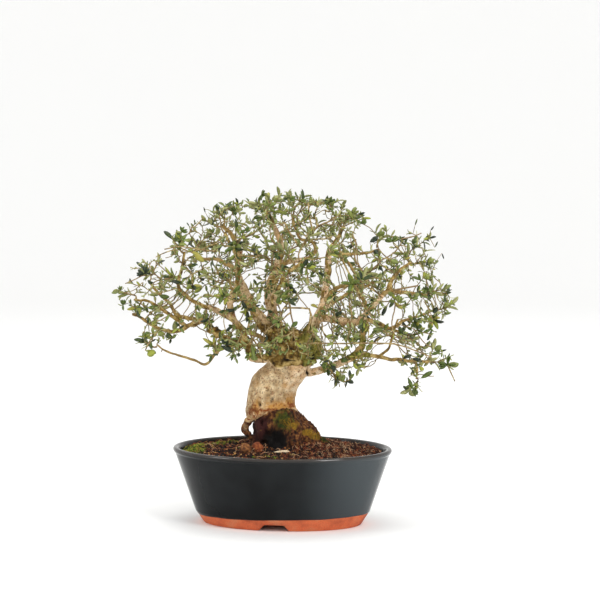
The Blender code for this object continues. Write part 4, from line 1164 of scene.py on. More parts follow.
def trunkBark():
    # old olive bark: smooth, pale and speckled on the trunk, greyer and darker with painted shade on its left
    # and warmer and paler with painted light on its right, golden and rusty where damp wood meets the roots,
    # dark and fibrous on the root base, olive and burred on the crown's base, with moss in patches; painted
    # shade darkens its hollow, pits, knots, scar and the crown's holes, and the relief darkens hollows and
    # lightens ridges
    material, tree, place = startMaterial("oldOliveBark", Roughness=0.8, IOR=1.45, Specular_IOR_Level=0.3)
    titles = ("mound", "crown", "right", "ochre", "rust", "burgundy", "green", "gold", "lush", "dark", "relief")
    zone = {title: addNode(tree, "Attribute", {"attribute_name": title}).outputs["Fac"] for title in titles}
    clouds, fine, fibrous = (
        addNode(tree, "TexNoise", links={"Vector": place, "Scale": scale, "Detail": detail})
        for scale, detail in ((150.0, 6.0), (620.0, 4.0), (330.0, 5.0)))
    shades = {name: addNode(tree, "ValToRGB", links={"Fac": fibrous if name == "root" else clouds},
                            stops=[(0.34, bark[dark]), (0.5, bark[middle]), (0.66, bark[pale])])
              for name, dark, middle, pale in (
                  ("left", "greyShadedLeftDark", "left", "greyShadedLeftPale"), ("right", "warmLitRightDark", "right", "warmLitRightPale"),
                  ("root", "rootDark", "root", "rootPale"), ("crown", "crownDark", "crown", "crownPale"),
                  ("moss", "green", "greenPale", "gold"))}
    specks = addNode(tree, "MapRange", links={"Value": fine, "From Min": 0.45, "From Max": 0.37, "To Max": 0.6})
    # painted light and shade: the paler, warmer right shades lie over the darker grey left ones
    layers = [(zone["right"], shades["right"]), (specks, bark["speck"])]
    for name, low, high, scale, depth, above in (
            ("ochre", 0.65, 1.55, 600.0, 1.3, bark["ochre"]), ("rust", 0.95, 1.5, 700.0, 1.4, bark["rust"]),
            ("crown", 0.45, 0.85, 300.0, 0.5, shades["crown"]),
            ("lush", 0.5, 1.0, 300.0, 0.5, bark["crownGreen"]),
            ("mound", 0.45, 0.8, 500.0, 0.5, shades["root"]),
            ("burgundy", 0.5, 1.0, 300.0, 0.5, bark["burgundy"]),
            ("green", 0.55, 1.0, 480.0, 0.5, shades["moss"]), ("gold", 0.6, 1.0, 480.0, 0.5, bark["gold"]),
            # painted shade, near-black, over the dark zone
            ("dark", 0.5, 0.95, 400.0, 0.5, bark["black"])):
        layers.append((brokenShare(tree, zone[name], low, high, place, scale, depth), above))
    colour = layerColours(tree, shades["left"], layers)
    # painted shade in the relief's hollows and painted light on its ridges
    colour = shadeColour(tree, colour, zone["relief"], (0.1, 0.65), (0.4, 1.08))
    return finishMaterial(material, fine, 0.9, 0.0008, Base_Color=colour)


def woodBark(name, dark, middle, pale, other, grain):
    # young bark: two hues that differ from limb to limb by tone, blotched by noise, with fine grey flecks
    material, tree, place = startMaterial(name, Roughness=0.72, IOR=1.45)
    tone, old = (addNode(tree, "Attribute", {"attribute_name": title}).outputs["Fac"]
                 for title in ("tone", "old"))
    blotch = addNode(tree, "TexNoise", links={"Vector": place, "Scale": grain, "Detail": 5.0})
    colour = addNode(tree, "ValToRGB", links={"Fac": blotch}, stops=[(0.33, dark), (0.5, middle), (0.66, pale)])
    share = addNode(tree, "MapRange", links={"Value": tone, "From Min": 0.2, "To Max": 0.75})
    mossy = brokenShare(tree, old, 0.45, 0.95, place, 300.0)
    colour = layerColours(tree, colour, [(share, other), (mossy, bark["crown"])])
    flecks = addNode(tree, "TexNoise", links={"Vector": place, "Scale": 1100.0, "Detail": 2.0})
    colour = shadeColour(tree, colour, flecks, (0.3, 0.6), (0.6, 1.06))
    return finishMaterial(material, flecks, 0.7, 0.0004, Base_Color=colour)


def limbBark():
    # limbs two to ten years old: golden olive-brown with pale ridges, pinker on some, mossy by the crown's base
    return woodBark("youngOliveBark", *(bark[name] for name in ("limbDark", "limbTan", "limbPale", "limbPink")),
                    150.0)


makeCore()
makeLimbs()
print("trunk and limbs ready")

# Crown: leafy sprays at their own places, then fine twigs grown through the crown, and leaves on all of them

sprays = {
    "ends": [  # across, up, back in the front view
        (-149, 281, 2), (-176, 247, 30), (-157, 226, -4), (-154, 198, -24), (-78, 196, -26), (-110, 310, -16),
        (-88, 326, 14), (-72, 341, 0), (-32, 346, 14), (-14, 355, -6), (4, 358, 12), (26, 352, -12),
        (46, 348, 16), (74, 334, 8), (112, 312, 38), (146, 302, 20), (163, 280, -16), (172, 252, -22),
        (188, 236, 50), (166, 214, 20), (147, 214, 4), (146, 192, 40), (174, 172, 26), (142, 138, 6),
        (62, 146, -14), (98, 200, -26), (-128, 256, 34), (-124, 268, -46), (-92, 262, -66), (-48, 296, -84),
        (-84, 296, 60), (-8, 306, -66), (34, 318, -54), (30, 276, -110), (72, 262, -112), (98, 276, -62),
        (122, 236, -66), (-34, 226, -84), (-66, 246, -112), (-90, 268, 108), (-30, 288, 108), (12, 322, 100),
        (62, 296, 94), (112, 268, 99), (36, 246, 112), (130, 240, 78), (-126, 232, 76), (8, 242, -118)],
    "half": (1.1, 0.6),
    "tipLeaf": 9.0,
    "greenEnd": 28.0,
    "sideTwig": (0.12, 17.0),  # place along the green end, length
    "sideHalf": (0.8, 0.55),
    "leafPairs": [0.3, 0.66, 0.97],
    "leafLength": (10.0, 14.0),
    "leafHalfWidth": (1.9, 2.5),
    "leafSpread": math.radians(50),
    "clearance": 0.3,
    "tries": 60,
    "nearSockets": 12,
    "shortest": 16.0,
    "shortPenalty": 30.0,
    "seed": 11,
}
crown = {
    "outline": [  # across, up in the front view, clockwise from the left
        (-176, 250), (-165, 280), (-152, 284), (-136, 287), (-125, 303), (-115, 316), (-99, 321), (-82, 331),
        (-69, 343), (-50, 347), (-34, 350), (-18, 357), (-2, 362), (14, 359), (30, 355), (46, 352), (59, 349),
        (67, 343), (89, 340), (95, 330), (96, 312), (105, 321), (121, 319), (139, 312), (159, 318), (161, 298),
        (171, 284), (169, 269), (178, 255), (189, 248), (192, 234), (182, 216), (169, 207), (175, 196),
        (189, 186), (190, 162), (169, 153), (148, 141), (137, 143), (139, 166), (121, 173), (100, 173),
        (78, 148), (62, 148), (51, 162), (32, 172), (10, 186), (-29, 170), (-42, 183), (-50, 173), (-64, 179),
        (-79, 168), (-93, 177), (-115, 186), (-141, 178), (-158, 191), (-155, 207), (-168, 220), (-177, 234)],
    "gaps": [  # across, up, half width, half height of what shows as sky
        (-46, 224, 7.5, 11.8), (-38, 260, 3.7, 9.6), (-22, 272, 4.3, 11.8), (20, 220, 11.8, 14.5),
        (47, 215, 6.4, 12.3), (27, 241, 11.3, 7), (43, 286, 4.3, 6.4), (63, 264, 9, 13), (-96, 193, 23, 12),
        (-120, 230, 10, 9), (-106, 236, 6, 4), (-67, 240, 8, 5), (-66, 214, 8, 9), (118, 222, 11, 7),
        (84, 279, 15, 4), (122, 240, 9, 4.5), (110, 186, 25, 7), (88, 310, 10, 9)],
    "inset": 0.965,
    "middle": (6.0, 236.0),
    "dome": (8.0, 215.0, 190.0, 148.0, 82.0, 116.0),  # middle across and up, halves across, up, down, back
    "goals": 2350,
    "shell": 0.55,  # the power that moves goals outwards: smaller is more
    "step": 4.2,
    "sight": 60.0,
    "reached": 6.5,
    "onward": 0.7,  # how much a twig keeps its direction
    "jitter": 0.22,
    "rounds": 70,
    "tipHalf": 0.5,
    "girth": 0.26,  # half thickness gained with the square root of the tips beyond
    "maxHalf": 1.6,
    "leafyEnd": 24.0,
    "pairGap": 2.5,  # from the tip pair to the next; the gaps widen inwards
    "bareChance": 0.2,  # how many twigs are bare sticks
    "leafChance": [(0, 0.95), (3, 0.72), (6, 0.45)],  # (rank from the tip, chance)
    "rankLength": [(0, 0.65), (1, 1.0), (2, 1.05), (5, 0.8)],  # (rank from the tip, share of the length)
    "leafLength": (3.6, 13.0),
    "leafWidth": (0.15, 0.21),  # half width as a share of the length
    "roundChance": 0.15,
    "sectors": 6,
    "seed": 23,
    "density": (0.3, 0.45, 0.25),  # chance of a goal anywhere, added in the dome's middle, added at its top
    "topFrom": (260.0, 60.0),  # height where the top starts, and over how many mm it grows to its full
    "wingFrom": (70.0, 60.0),  # the same for the wings, out from the dome's middle
    "wingThinner": 0.5,
    "leafSpread": (52, 14),  # degrees from the twig: middle and spread
    "fold": (0.1, 0.45),
    "arch": (0.06, 0.07),
    "curl": (0, 0.05),
    "leafThick": 0.28,
}
details = {  # what the photo shows singly, at its own place as across, up in the front view
    "sticks": [  # half thickness, and the way of a bare twig from the wood outwards
        (0.9, [(-92, 319), (-83, 328.5)]), (0.9, [(-112.5, 260), (-124.5, 272), (-135, 281.5)]),
        (1, [(-70.5, 295), (-88, 297), (-107, 300), (-124.5, 297)]),
        (0.7, [(-114.5, 295.5), (-124.5, 292.5), (-134, 288)]),
        (0.7, [(-148.5, 267.5), (-156.5, 263.5), (-167, 259)]),
        (0.7, [(-148.5, 260), (-156.5, 252.5), (-168.5, 248.5)]),
        (1, [(-135, 205.5), (-141.5, 197), (-146, 187.5)]), (1.3, [(122, 252.5), (132, 254.5), (146, 257)]),
        (0.9, [(25.5, 197), (73, 196.5), (117, 197), (139.5, 190.5), (161, 182)]),
        (1.2, [(29, 209), (31, 222.5), (31, 234), (19.5, 235.5), (3, 235.5)]),
        (1.7, [(84.5, 247.5), (75, 266.5), (63, 290)]), (1.1, [(16.5, 304), (8.5, 316), (3, 327)]),
        (1.1, [(34, 312.5), (30, 330), (28.5, 346)]), (0.8, [(128.5, 306.5), (139.5, 308.5), (149, 312.5)]),
        (0.9, [(179, 167), (182, 160.5), (185.5, 153)]), (0.8, [(143.5, 207.5), (152, 196), (159.5, 190.5)]),
        (0.7, [(52.5, 160.5), (60, 154), (62, 147.5)])],
    "leaves": [  # base across, up, tip across, up, half width, tone
        (-144, 183, -135, 186.5, 4, 0.8), (-150.5, 226.5, -154.5, 235, 2.8, 0.72),
        (-32, 195, -28, 177, 2.2, 0.5), (-94.5, 294.5, -81.5, 284, 3.6, 0.97),
        (151, 271, 157, 263.5, 3.4, 0.72), (155.5, 281, 163, 285, 2.2, 0.65),
        (94.5, 304.5, 103.5, 310, 2.7, 0.1), (101.5, 311, 109.5, 315.5, 3, 0.5),
        (90, 189, 98, 192.5, 3.1, 0.7), (65, 186.5, 73.5, 190.5, 2.1, 0.6), (77, 175, 82.5, 169, 1.9, 0.8),
        (181, 169, 189.5, 172.5, 2.9, 0.6), (163.5, 186.5, 171, 191.5, 3.4, 0.6),
        (149, 156, 161, 164, 2.6, 0.35), (57, 227, 65, 230, 2.6, 0.08), (11.5, 215, 17.5, 221, 2.4, 0.35),
        (135, 157.5, 141.5, 145.5, 2, 0.35), (59, 150, 60.5, 160, 1.6, 0.15), (65, 153, 67.5, 161.5, 1.9, 0.5),
        (68.5, 147.5, 70.5, 158.5, 1.2, 0.1), (124.5, 281.5, 117, 286, 2.8, 0.6),
        (78, 258, 72, 262.5, 1.6, 0.1), (-124.5, 218.5, -119, 227, 1.6, 0.5),
        (-131, 244, -120, 243, 2.8, 0.35), (-64.5, 194, -51.5, 187.5, 2.2, 0.1),
        (-141.5, 191.5, -146, 197, 1.4, 0.3), (38.5, 233.5, 31, 236.5, 1.8, 1),
        (166, 233.5, 163, 226, 2.4, 0.1), (171.5, 224, 181, 226, 1.6, 0.5), (158.5, 314, 162, 319, 0.8, 0.1),
        (170.5, 289, 172.5, 282.5, 0.9, 0.1), (176, 249.5, 182, 252.5, 0.7, 0.1),
        (163, 295.5, 166, 302, 0.8, 0.2), (177, 259, 173.5, 254, 0.8, 0.3), (152, 303, 155.5, 309.5, 0.9, 0.2),
        (141.5, 318, 144.5, 325.5, 0.8, 0.3), (-64.5, 338.5, -67.5, 342.5, 0.7, 0.2),
        (-81.5, 332, -83.5, 338.5, 0.7, 0.1), (-72, 326.5, -74, 321.5, 0.8, 0.1),
        (-98.5, 319, -101, 323.5, 0.8, 0.2)],
    "whorls": [  # across, up, number of leaves, their length, tone
        (-146.5, 269, 9, 8.5, 0.08), (-146, 200, 9, 8, 0.75), (-110.5, 303, 8, 8.5, 0.4),
        (-106, 314, 7, 6.5, 0.35), (-172.5, 249.5, 6, 5, 0.45), (-169.5, 235.5, 6, 6, 0.3),
        (-59, 194, 8, 8, 0.12), (177, 171.5, 9, 9.5, 0.3), (156.5, 250.5, 7, 7.5, 0.35),
        (139.5, 244, 6, 7, 0.45), (75, 333, 8, 8, 0.6), (118, 304, 8, 8, 0.35), (140.5, 299, 5, 6, 0.25),
        (-13, 341.5, 8, 8, 0.6), (8.5, 350, 7, 7, 0.4), (51.5, 345, 7, 6.5, 0.3), (140.5, 140, 6, 6, 0.3),
        (126.5, 240, 6, 7, 0.6), (144.5, 210, 7, 7, 0.2), (-38.5, 317, 6, 6, 0.3), (-52.5, 334, 7, 6, 0.3),
        (-21.5, 351.5, 7, 6, 0.3), (19.5, 347, 6, 7, 0.6), (85.5, 323.5, 6, 6, 0.35), (179, 236.5, 7, 6, 0.7),
        (158.5, 212, 6, 5, 0.4)],
    "stalkHalf": 0.32,
}
foliage = {"dark": "#1e2b15", "green": "#546622", "grey": "#7d8744", "fresh": "#949c34", "yellow": "#a8a046",
           "under": "#adae76", "underDark": "#81864e"}


class Space:
    # what already stands in the crown, as rods with a half thickness
    def __init__(self):
        self.starts, self.ends, self.radii = [], [], []

    def add(self, start, end, radius):
        self.starts.append(start)
        self.ends.append(end)
        self.radii.append(radius)

    def isFree(self, start, end, radius, trim=0.0):
        # whether a rod keeps clear of all that stands here, less a share at each one's start: the shortest way
        # between two rods, from the usual two clamped steps
        starts, ends = np.array(self.starts), np.array(self.ends)
        starts = starts + trim * (ends - starts)
        way, others, apart = end - start, ends - starts, start - starts
        own = way @ way
        their = np.einsum("ij,ij->i", others, others)
        mixed = others @ way
        ahead = apart @ way
        beside = np.einsum("ij,ij->i", others, apart)
        s = np.clip((mixed * beside - ahead * their) / np.maximum(own * their - mixed**2, 1e-9), 0, 1)
        t = np.clip((mixed * s + beside) / their, 0, 1)
        s = np.clip((mixed * t - ahead) / own, 0, 1)
        gaps = np.linalg.norm(apart + s[:, None] * way - t[:, None] * others, axis=1)
        return bool(np.all(gaps > np.array(self.radii) + radius + sprays["clearance"]))


def single(vector):
    # one vector at length 1
    return vector / np.linalg.norm(vector)


def standingTree():
    # the space that trunk and limbs take up, and the places along the limbs where a spray can start
    space = Space()
    rings = trunk["rings"]
    middles = [np.array((*inPotFrame(row[1], row[2]), row[0])) for row in rings]
    for low, high, row in zip(middles, middles[1:], rings):
        space.add(low, high, row[3])
    sockets = []
    for thickness, points in limbs.values():
        route = fromFront(points)
        along = np.linspace(0, 1, len(route)) ** trunk["limbTaper"]
        radii = thickness[0] + (thickness[1] - thickness[0]) * along
        for i in range(len(route) - 1):
            space.add(route[i], route[i + 1], max(radii[i], radii[i + 1]))
            if i == 0:
                continue
            for share in (0.15, 0.4, 0.65, 0.9):
                place = route[i] + share * (route[i + 1] - route[i])
                sockets.append((place, single(route[i + 1] - route[i]),
                                radii[i] + share * (radii[i + 1] - radii[i])))
    return space, sockets


def branchletRoute(socket, end, rng):
    # a quadratic curve from just off a limb to a spray's end, its knee out along the starting direction
    place, along, radius = socket
    way = end - place
    out = way - along * (way @ along)
    out = single(single(out) + 0.25 * rng.normal(size=3) * (1, 1, 0.4))
    out = single(out - along * (out @ along))
    start = place + out * (radius + sprays["clearance"] + 0.15)
    end = end - single(end - start) * sprays["tipLeaf"]
    length = np.linalg.norm(end - start)
    knee = start + out * length * 0.4 + np.array((0, 0, 0.06 * length))
    t = np.linspace(0, 1, 5)[:, None]
    return (1 - t) ** 2 * start + 2 * t * (1 - t) * knee + t**2 * end


def findRoute(end, sockets, space, rng):
    # the first clear route to a spray's end, from the sockets nearest to it
    far = np.array([np.linalg.norm(end - place) for place, _, _ in sockets])
    order = np.argsort(far + sprays["shortPenalty"] * (far < sprays["shortest"]))
    near = [sockets[i] for i in order[:sprays["nearSockets"]]]
    half = sprays["half"][0]
    for attempt in range(sprays["tries"]):
        route = branchletRoute(near[attempt % len(near)], end, rng)
        offLimb = route[0] + single(route[1] - route[0]) * 1.5 * half
        rods = list(zip([offLimb, *route[1:-1]], route[1:]))
        if all(space.isFree(low, high, half) for low, high in rods):
            return route
    return None


def leafPair(place, ahead, turn, space, taken, rng):
    # two leaves that face each other across a twig, each only where it stands free
    first = single(np.cross(ahead, (0.2, 0.1, 1.0)))
    second = np.cross(ahead, first)
    spread = sprays["leafSpread"]
    blades = []
    for halfTurn in (0, math.pi):
        for shift in (0.0, 0.5, -0.5, 1.0, -1.0):
            angle = turn + halfTurn + shift
            out = first * math.cos(angle) + second * math.sin(angle)
            way = single(ahead * math.cos(spread) + out * math.sin(spread) + (0, 0, 0.12))
            length = rng.uniform(*sprays["leafLength"])
            halfWidth = rng.uniform(*sprays["leafHalfWidth"])
            tip = place + way * length
            freeHalf = place + way * 0.45 * length
            if not space.isFree(place, tip, halfWidth):
                continue
            if not taken.isFree(freeHalf, tip, halfWidth, 0.45):
                continue
            flat = single(ahead * math.sin(spread) - out * math.cos(spread) + 0.2 * rng.normal(size=3))
            blades.append((place, way, flat, length, halfWidth))
            taken.add(place, tip, halfWidth)
            break
    return blades


def sideTwig(place, ahead, turn, space, taken):
    # the two ends of a side twig that stands free, or None
    across = single(np.cross(ahead, (0.2, 0.1, 1.0)))
    for step in range(6):
        angle = turn + step * math.pi / 3
        out = across * math.cos(angle) + np.cross(ahead, across) * math.sin(angle)
        tip = place + single(ahead * 0.7 + out * 0.75 + (0, 0, 0.15)) * sprays["sideTwig"][1]
        freeHalf = place + (tip - place) * 0.45
        half = sprays["sideHalf"][0]
        if space.isFree(place, tip, half) and taken.isFree(freeHalf, tip, half, 0.45):
            return np.array((place, tip))
    return None


def onGreenEnd(route, share):
    # the place at a share of a branchlet's green end, and the direction there
    steps, reached = lengthsAlong(route)
    green = min(sprays["greenEnd"], 0.8 * reached[-1])
    wanted = reached[-1] - green * (1 - share)
    i = min(int(np.searchsorted(reached, wanted, side="right")) - 1, len(steps) - 1)
    way = (route[i + 1] - route[i]) / steps[i]
    return route[i] + way * (wanted - reached[i]), way


def growSprays():
    # every spray of the CAD again, in the same order with the same draws: its node, twigs and leaves
    rng = np.random.default_rng(sprays["seed"])
    space, sockets = standingTree()
    grown = []
    for number, end in enumerate(sprays["ends"], 1):
        route = findRoute(fromFront(end), sockets, space, rng)
        if route is None:
            continue
        taken = Space()
        for low, high in zip(route, route[1:]):
            taken.add(low, high, sprays["half"][0])
        twigs, blades = [(route, sprays["half"])], []
        turn = rng.uniform(0, 2 * math.pi)
        for share in sprays["leafPairs"]:
            place, ahead = onGreenEnd(route, share)
            blades += leafPair(place, ahead, turn, space, taken, rng)
            turn += math.pi / 2
        ends = sideTwig(*onGreenEnd(route, sprays["sideTwig"][0]), turn, space, taken)
        if ends is not None:
            twigs.append((ends, sprays["sideHalf"]))
            taken.add(*ends, sprays["sideHalf"][0])
            ahead = single(ends[1] - ends[0])
            blades += leafPair(ends[1] - ahead * 0.8, ahead, turn, space, taken, rng)
        for start, stop, radius in zip(taken.starts, taken.ends, taken.radii):
            space.add(start, stop, radius)
        grown.append((f"spray_{number:02d}", twigs, blades))
    return grown


def insideOutline(places, outline):
    # whether places lie inside a closed outline: an odd number of its sides is crossed on the way right
    x, y = places[:, :1], places[:, 1:2]
    a, b = np.asarray(outline, float), np.roll(outline, -1, axis=0)
    crosses = (a[:, 1] > y) != (b[:, 1] > y)
    at = a[:, 0] + (y - a[:, 1]) * (b[:, 0] - a[:, 0]) / np.where(b[:, 1] == a[:, 1], 1e-9, b[:, 1] - a[:, 1])
    return np.sum(crosses & (x < at), axis=1) % 2 == 1


def inGaps(front, grow=0.0):
    # whether places of the front view lie in one of the gaps
    across, up, halfAcross, halfUp = np.array(crown["gaps"], float).T[:, :, None]
    x, y = (front[:, 0] - across) / (halfAcross + grow), (front[:, 1] - up) / (halfUp + grow)
    return np.any(x**2 + y**2 < 1, axis=0)


def crownGoals(rng):
    # places for twigs to grow to: inside the crown's outline as seen in front, outside its gaps, and as far
    # back or forward as its dome reaches there, more of them near the dome's skin
    middle = np.array(crown["middle"])
    outline = middle + crown["inset"] * (np.array(crown["outline"], float) - middle)
    low, high = outline.min(axis=0), outline.max(axis=0)
    across, up, halfAcross, halfUp, halfDown, depth = crown["dome"]
    goals = np.empty((0, 3))
    while len(goals) < crown["goals"]:
        tried = rng.uniform(low, high, (4000, 2))
        tried = tried[insideOutline(tried, outline) & ~inGaps(tried, 2.0)]
        tall = np.where(tried[:, 1] > up, halfUp, halfDown)
        left = 1 - ((tried[:, 0] - across) / halfAcross) ** 2 - ((tried[:, 1] - up) / tall) ** 2
        deep = np.sqrt(np.clip(left, 0.012, 1))
        wing = np.clip((np.abs(tried[:, 0] - across) - crown["wingFrom"][0]) / crown["wingFrom"][1], 0, 1)
        tip = np.clip((tried[:, 1] - crown["topFrom"][0]) / crown["topFrom"][1], 0, 1) * (1 - wing)
        base, inMiddle, atTop = crown["density"]
        chance = (base + inMiddle * deep + atTop * tip) * (1 - crown["wingThinner"] * wing)
        kept = rng.uniform(size=len(tried)) < chance
        tried, deep = tried[kept], deep[kept] * depth
        side = rng.uniform(-1, 1, len(tried))
        back = np.sign(side) * np.abs(side) ** crown["shell"] * deep
        goals = np.vstack([goals, np.column_stack([tried, back])])
    return fromFront(goals[:crown["goals"]])


def growTwigs(rng, wood):
    # twigs grow step by step from the standing wood: each point that is nearest to some goals moves towards
    # them, keeping part of its own direction, and a goal that is reached drops out
    goals = crownGoals(rng)
    nodes, ahead = wood.copy(), np.zeros_like(wood)
    parents = np.full(len(wood), -1)
    far = np.full(len(goals), np.inf)
    near = np.zeros(len(goals), int)
    fresh = np.arange(len(nodes))
    for _ in range(crown["rounds"]):
        apart = np.linalg.norm(goals[:, None] - nodes[fresh][None], axis=2)
        best = apart.argmin(axis=1)
        closer = apart[np.arange(len(goals)), best] < far
        far[closer], near[closer] = apart[np.arange(len(goals)), best][closer], fresh[best[closer]]
        stay = far > crown["reached"]
        goals, far, near = goals[stay], far[stay], near[stay]
        seen = far < crown["sight"]
        if not seen.any():
            break
        pull = np.zeros_like(nodes)
        np.add.at(pull, near[seen], unit(goals[seen] - nodes[near[seen]]))
        growing = np.unique(near[seen])
        way = unit(unit(pull[growing]) + crown["onward"] * ahead[growing]
                   + crown["jitter"] * rng.normal(size=(len(growing), 3)))
        tips = nodes[growing] + way * crown["step"]
        gap = np.min(np.linalg.norm(tips[:, None] - nodes[None], axis=2), axis=1)
        clear = gap > crown["step"] * 0.55
        fresh = np.arange(clear.sum()) + len(nodes)
        if not len(fresh):
            break
        nodes = np.vstack([nodes, tips[clear]])
        ahead = np.vstack([ahead, way[clear]])
        parents = np.concatenate([parents, growing[clear]])
    return nodes, parents


def twigRoutes(nodes, parents, woodCount):
    # the grown points as routes: each goes on along the child with the most tips beyond it, the others start
    # new routes; the half thickness comes from the number of tips beyond
    count = len(nodes)
    tips = np.zeros(count)
    children = [[] for _ in range(count)]
    for i in range(count - 1, woodCount - 1, -1):
        tips[i] = max(tips[i], 1)
        tips[parents[i]] += tips[i]
        children[parents[i]].append(i)
    routes = []
    starts = [(i, child) for i in range(woodCount) for child in children[i]]
    while starts:
        root, i = starts.pop()
        line = [root, i]
        while children[i]:
            order = sorted(children[i], key=lambda child: -tips[child])
            starts += [(i, child) for child in order[1:]]
            i = order[0]
            line.append(i)
        routes.append(line)
    half = np.minimum(crown["tipHalf"] + crown["girth"] * (np.sqrt(np.maximum(tips, 1)) - 1), crown["maxHalf"])
    return routes, half


def smoothTwigs(nodes, routes, half):
    # routes become smooth lines, grouped by their number of rings so that tubes are made many at once
    groups = {}
    for line in routes:
        rings = min(4 * math.ceil((len(line) + 1) / 4) + 1, 33)
        path = smoothRoute(nodes[line], rings)
        thick = np.interp(np.linspace(0, 1, rings), np.linspace(0, 1, len(line)), half[line])
        thick[0] = thick[1]
        groups.setdefault(rings, []).append((path, thick))
    return groups


def leafyPlaces(paths, rng):
    # leaf pairs crowd round each twig's tip and thin out inwards, the k-th at gap * k^1.4 from it, each pair
    # turned a quarter from the one before; some twigs stay bare
    found = []
    for path in paths:
        if rng.uniform() < crown["bareChance"]:
            continue
        steps, reached = lengthsAlong(path)
        green = min(crown["leafyEnd"] * rng.uniform(0.6, 1.3), 0.85 * reached[-1])
        inwards = 0.6 + crown["pairGap"] * rng.uniform(0.8, 1.25) * np.arange(8) ** 1.4
        places = reached[-1] - inwards[inwards < green]
        turn = rng.uniform(0, 2 * math.pi)
        for k, at in enumerate(places):
            place = np.array([np.interp(at, reached, path[:, axis]) for axis in range(3)])
            i = min(np.searchsorted(reached, at), len(steps)) - 1
            found.append((*place, *(path[i + 1] - path[i]), turn + k * math.pi / 2, k))
    return np.array(found)


def pairLeaves(found, rng):
    # both leaves of each pair as arrays: base, way, flat side, length, half width, tone
    place, ahead = np.repeat(found[:, :3], 2, axis=0), unit(np.repeat(found[:, 3:6], 2, axis=0))
    turn = np.repeat(found[:, 6], 2) + np.tile([0, math.pi], len(found)) + rng.normal(0, 0.25, 2 * len(found))
    rank = np.repeat(found[:, 7], 2)
    count = len(place)
    first = unit(np.cross(ahead, (0.2, 0.1, 1.0)))
    second = np.cross(ahead, first)
    out = first * np.cos(turn)[:, None] + second * np.sin(turn)[:, None]
    spread = np.radians(rng.normal(*crown["leafSpread"], count)) * np.where(rank == 0, 0.6, 1)
    way = ahead * np.cos(spread)[:, None] + out * np.sin(spread)[:, None]
    way = unit(way + np.array([0, 0, 0.1]) + rng.normal(0, 0.1, (count, 3)))
    flat = ahead * np.sin(spread)[:, None] - out * np.cos(spread)[:, None]
    flat = unit(flat + np.array([0, 0, 0.45]) + rng.normal(0, 0.3, (count, 3)))
    shortest, longest = crown["leafLength"]
    length = shortest + (longest - shortest) * rng.beta(1.5, 2.7, count)
    length = length * np.interp(rank, *zip(*crown["rankLength"]))
    rounder = rng.uniform(0.05, 0.19, count) * (rng.uniform(size=count) < crown["roundChance"])
    width = length * (rng.uniform(*crown["leafWidth"], count) + rounder)
    tone = np.clip(rng.beta(1.7, 2.1, count) + np.where(rank == 0, 0.15, 0), 0, 1)
    keep = rng.uniform(size=count) < np.interp(rank, *zip(*crown["leafChance"]))
    keep &= ~inGaps(toFront(place + way * length[:, None] * 0.6))
    return [values[keep] for values in (place, way, flat, length, width, tone)]


def leafBlades(base, way, flat, length, halfWidth, tone, rng):
    # a blunt blade: its half width is the sine along it to the power 0.6, widest past the middle; its sides
    # fold up from the midrib, it arches and its tip bends back; a top and a bottom line close it to a lens
    count = len(base)
    along = np.array([0.07, 0.24, 0.48, 0.72, 0.92])
    side = unit(np.cross(flat, way))
    up = np.cross(way, side)
    wide = np.sin(math.pi * along**1.1) ** 0.6
    fold = rng.uniform(*crown["fold"], count)[:, None]
    bend = rng.normal(*crown["arch"], count)[:, None]
    curl = rng.normal(*crown["curl"], count)[:, None]
    lift = length[:, None] * bend * 4 * along * (1 - along)
    t = length[:, None] * along
    sway = length[:, None] * curl * along**2
    w = halfWidth[:, None] * wide
    thick = crown["leafThick"] * np.sin(math.pi * along) ** 0.5
    corner = np.zeros((count, 5, 4, 3))
    for j, (sideways, high) in enumerate([(w, fold * w), (0 * w, thick + 0 * w), (-w, fold * w),
                                          (0 * w, -thick + 0 * w)]):
        corner[:, :, j] = (base[:, None] + way[:, None] * t[..., None]
                           + side[:, None] * (sideways + sway)[..., None]
                           + up[:, None] * (lift + high)[..., None])
    tip = base + way * length[:, None] + side * (length * curl[:, 0])[:, None]
    points = np.concatenate([corner.reshape(count, 20, 3), base[:, None], tip[:, None]], axis=1)
    underQuads = np.tile((np.arange(16) % 4 >= 2).astype(float), count)
    underEnds = np.tile(np.array([1, 0, 0, 1, 0, 0, 1, 1], float), count)
    under = np.concatenate([underQuads, underEnds])
    return points.reshape(-1, 3), closedFaces(5, 4, count), np.repeat(tone, 22), under


def sectorOf(points):
    # the crown is cut into wedges round the upright line through its middle
    middle = np.append(inPotFrame(crown["middle"][0], 0), 0)
    turn = np.arctan2(points[:, 1] - middle[1], points[:, 0] - middle[0])
    return ((turn / (2 * math.pi) + 0.5) * crown["sectors"]).astype(int) % crown["sectors"]


def nearWood(place, wood):
    # the wood that lies nearest to a place as seen in front, and of that rather what is further forward
    front = toFront(wood)
    far = np.hypot(front[:, 0] - place[0], front[:, 1] - place[1]) + 0.06 * front[:, 2]
    return front[far.argmin()]


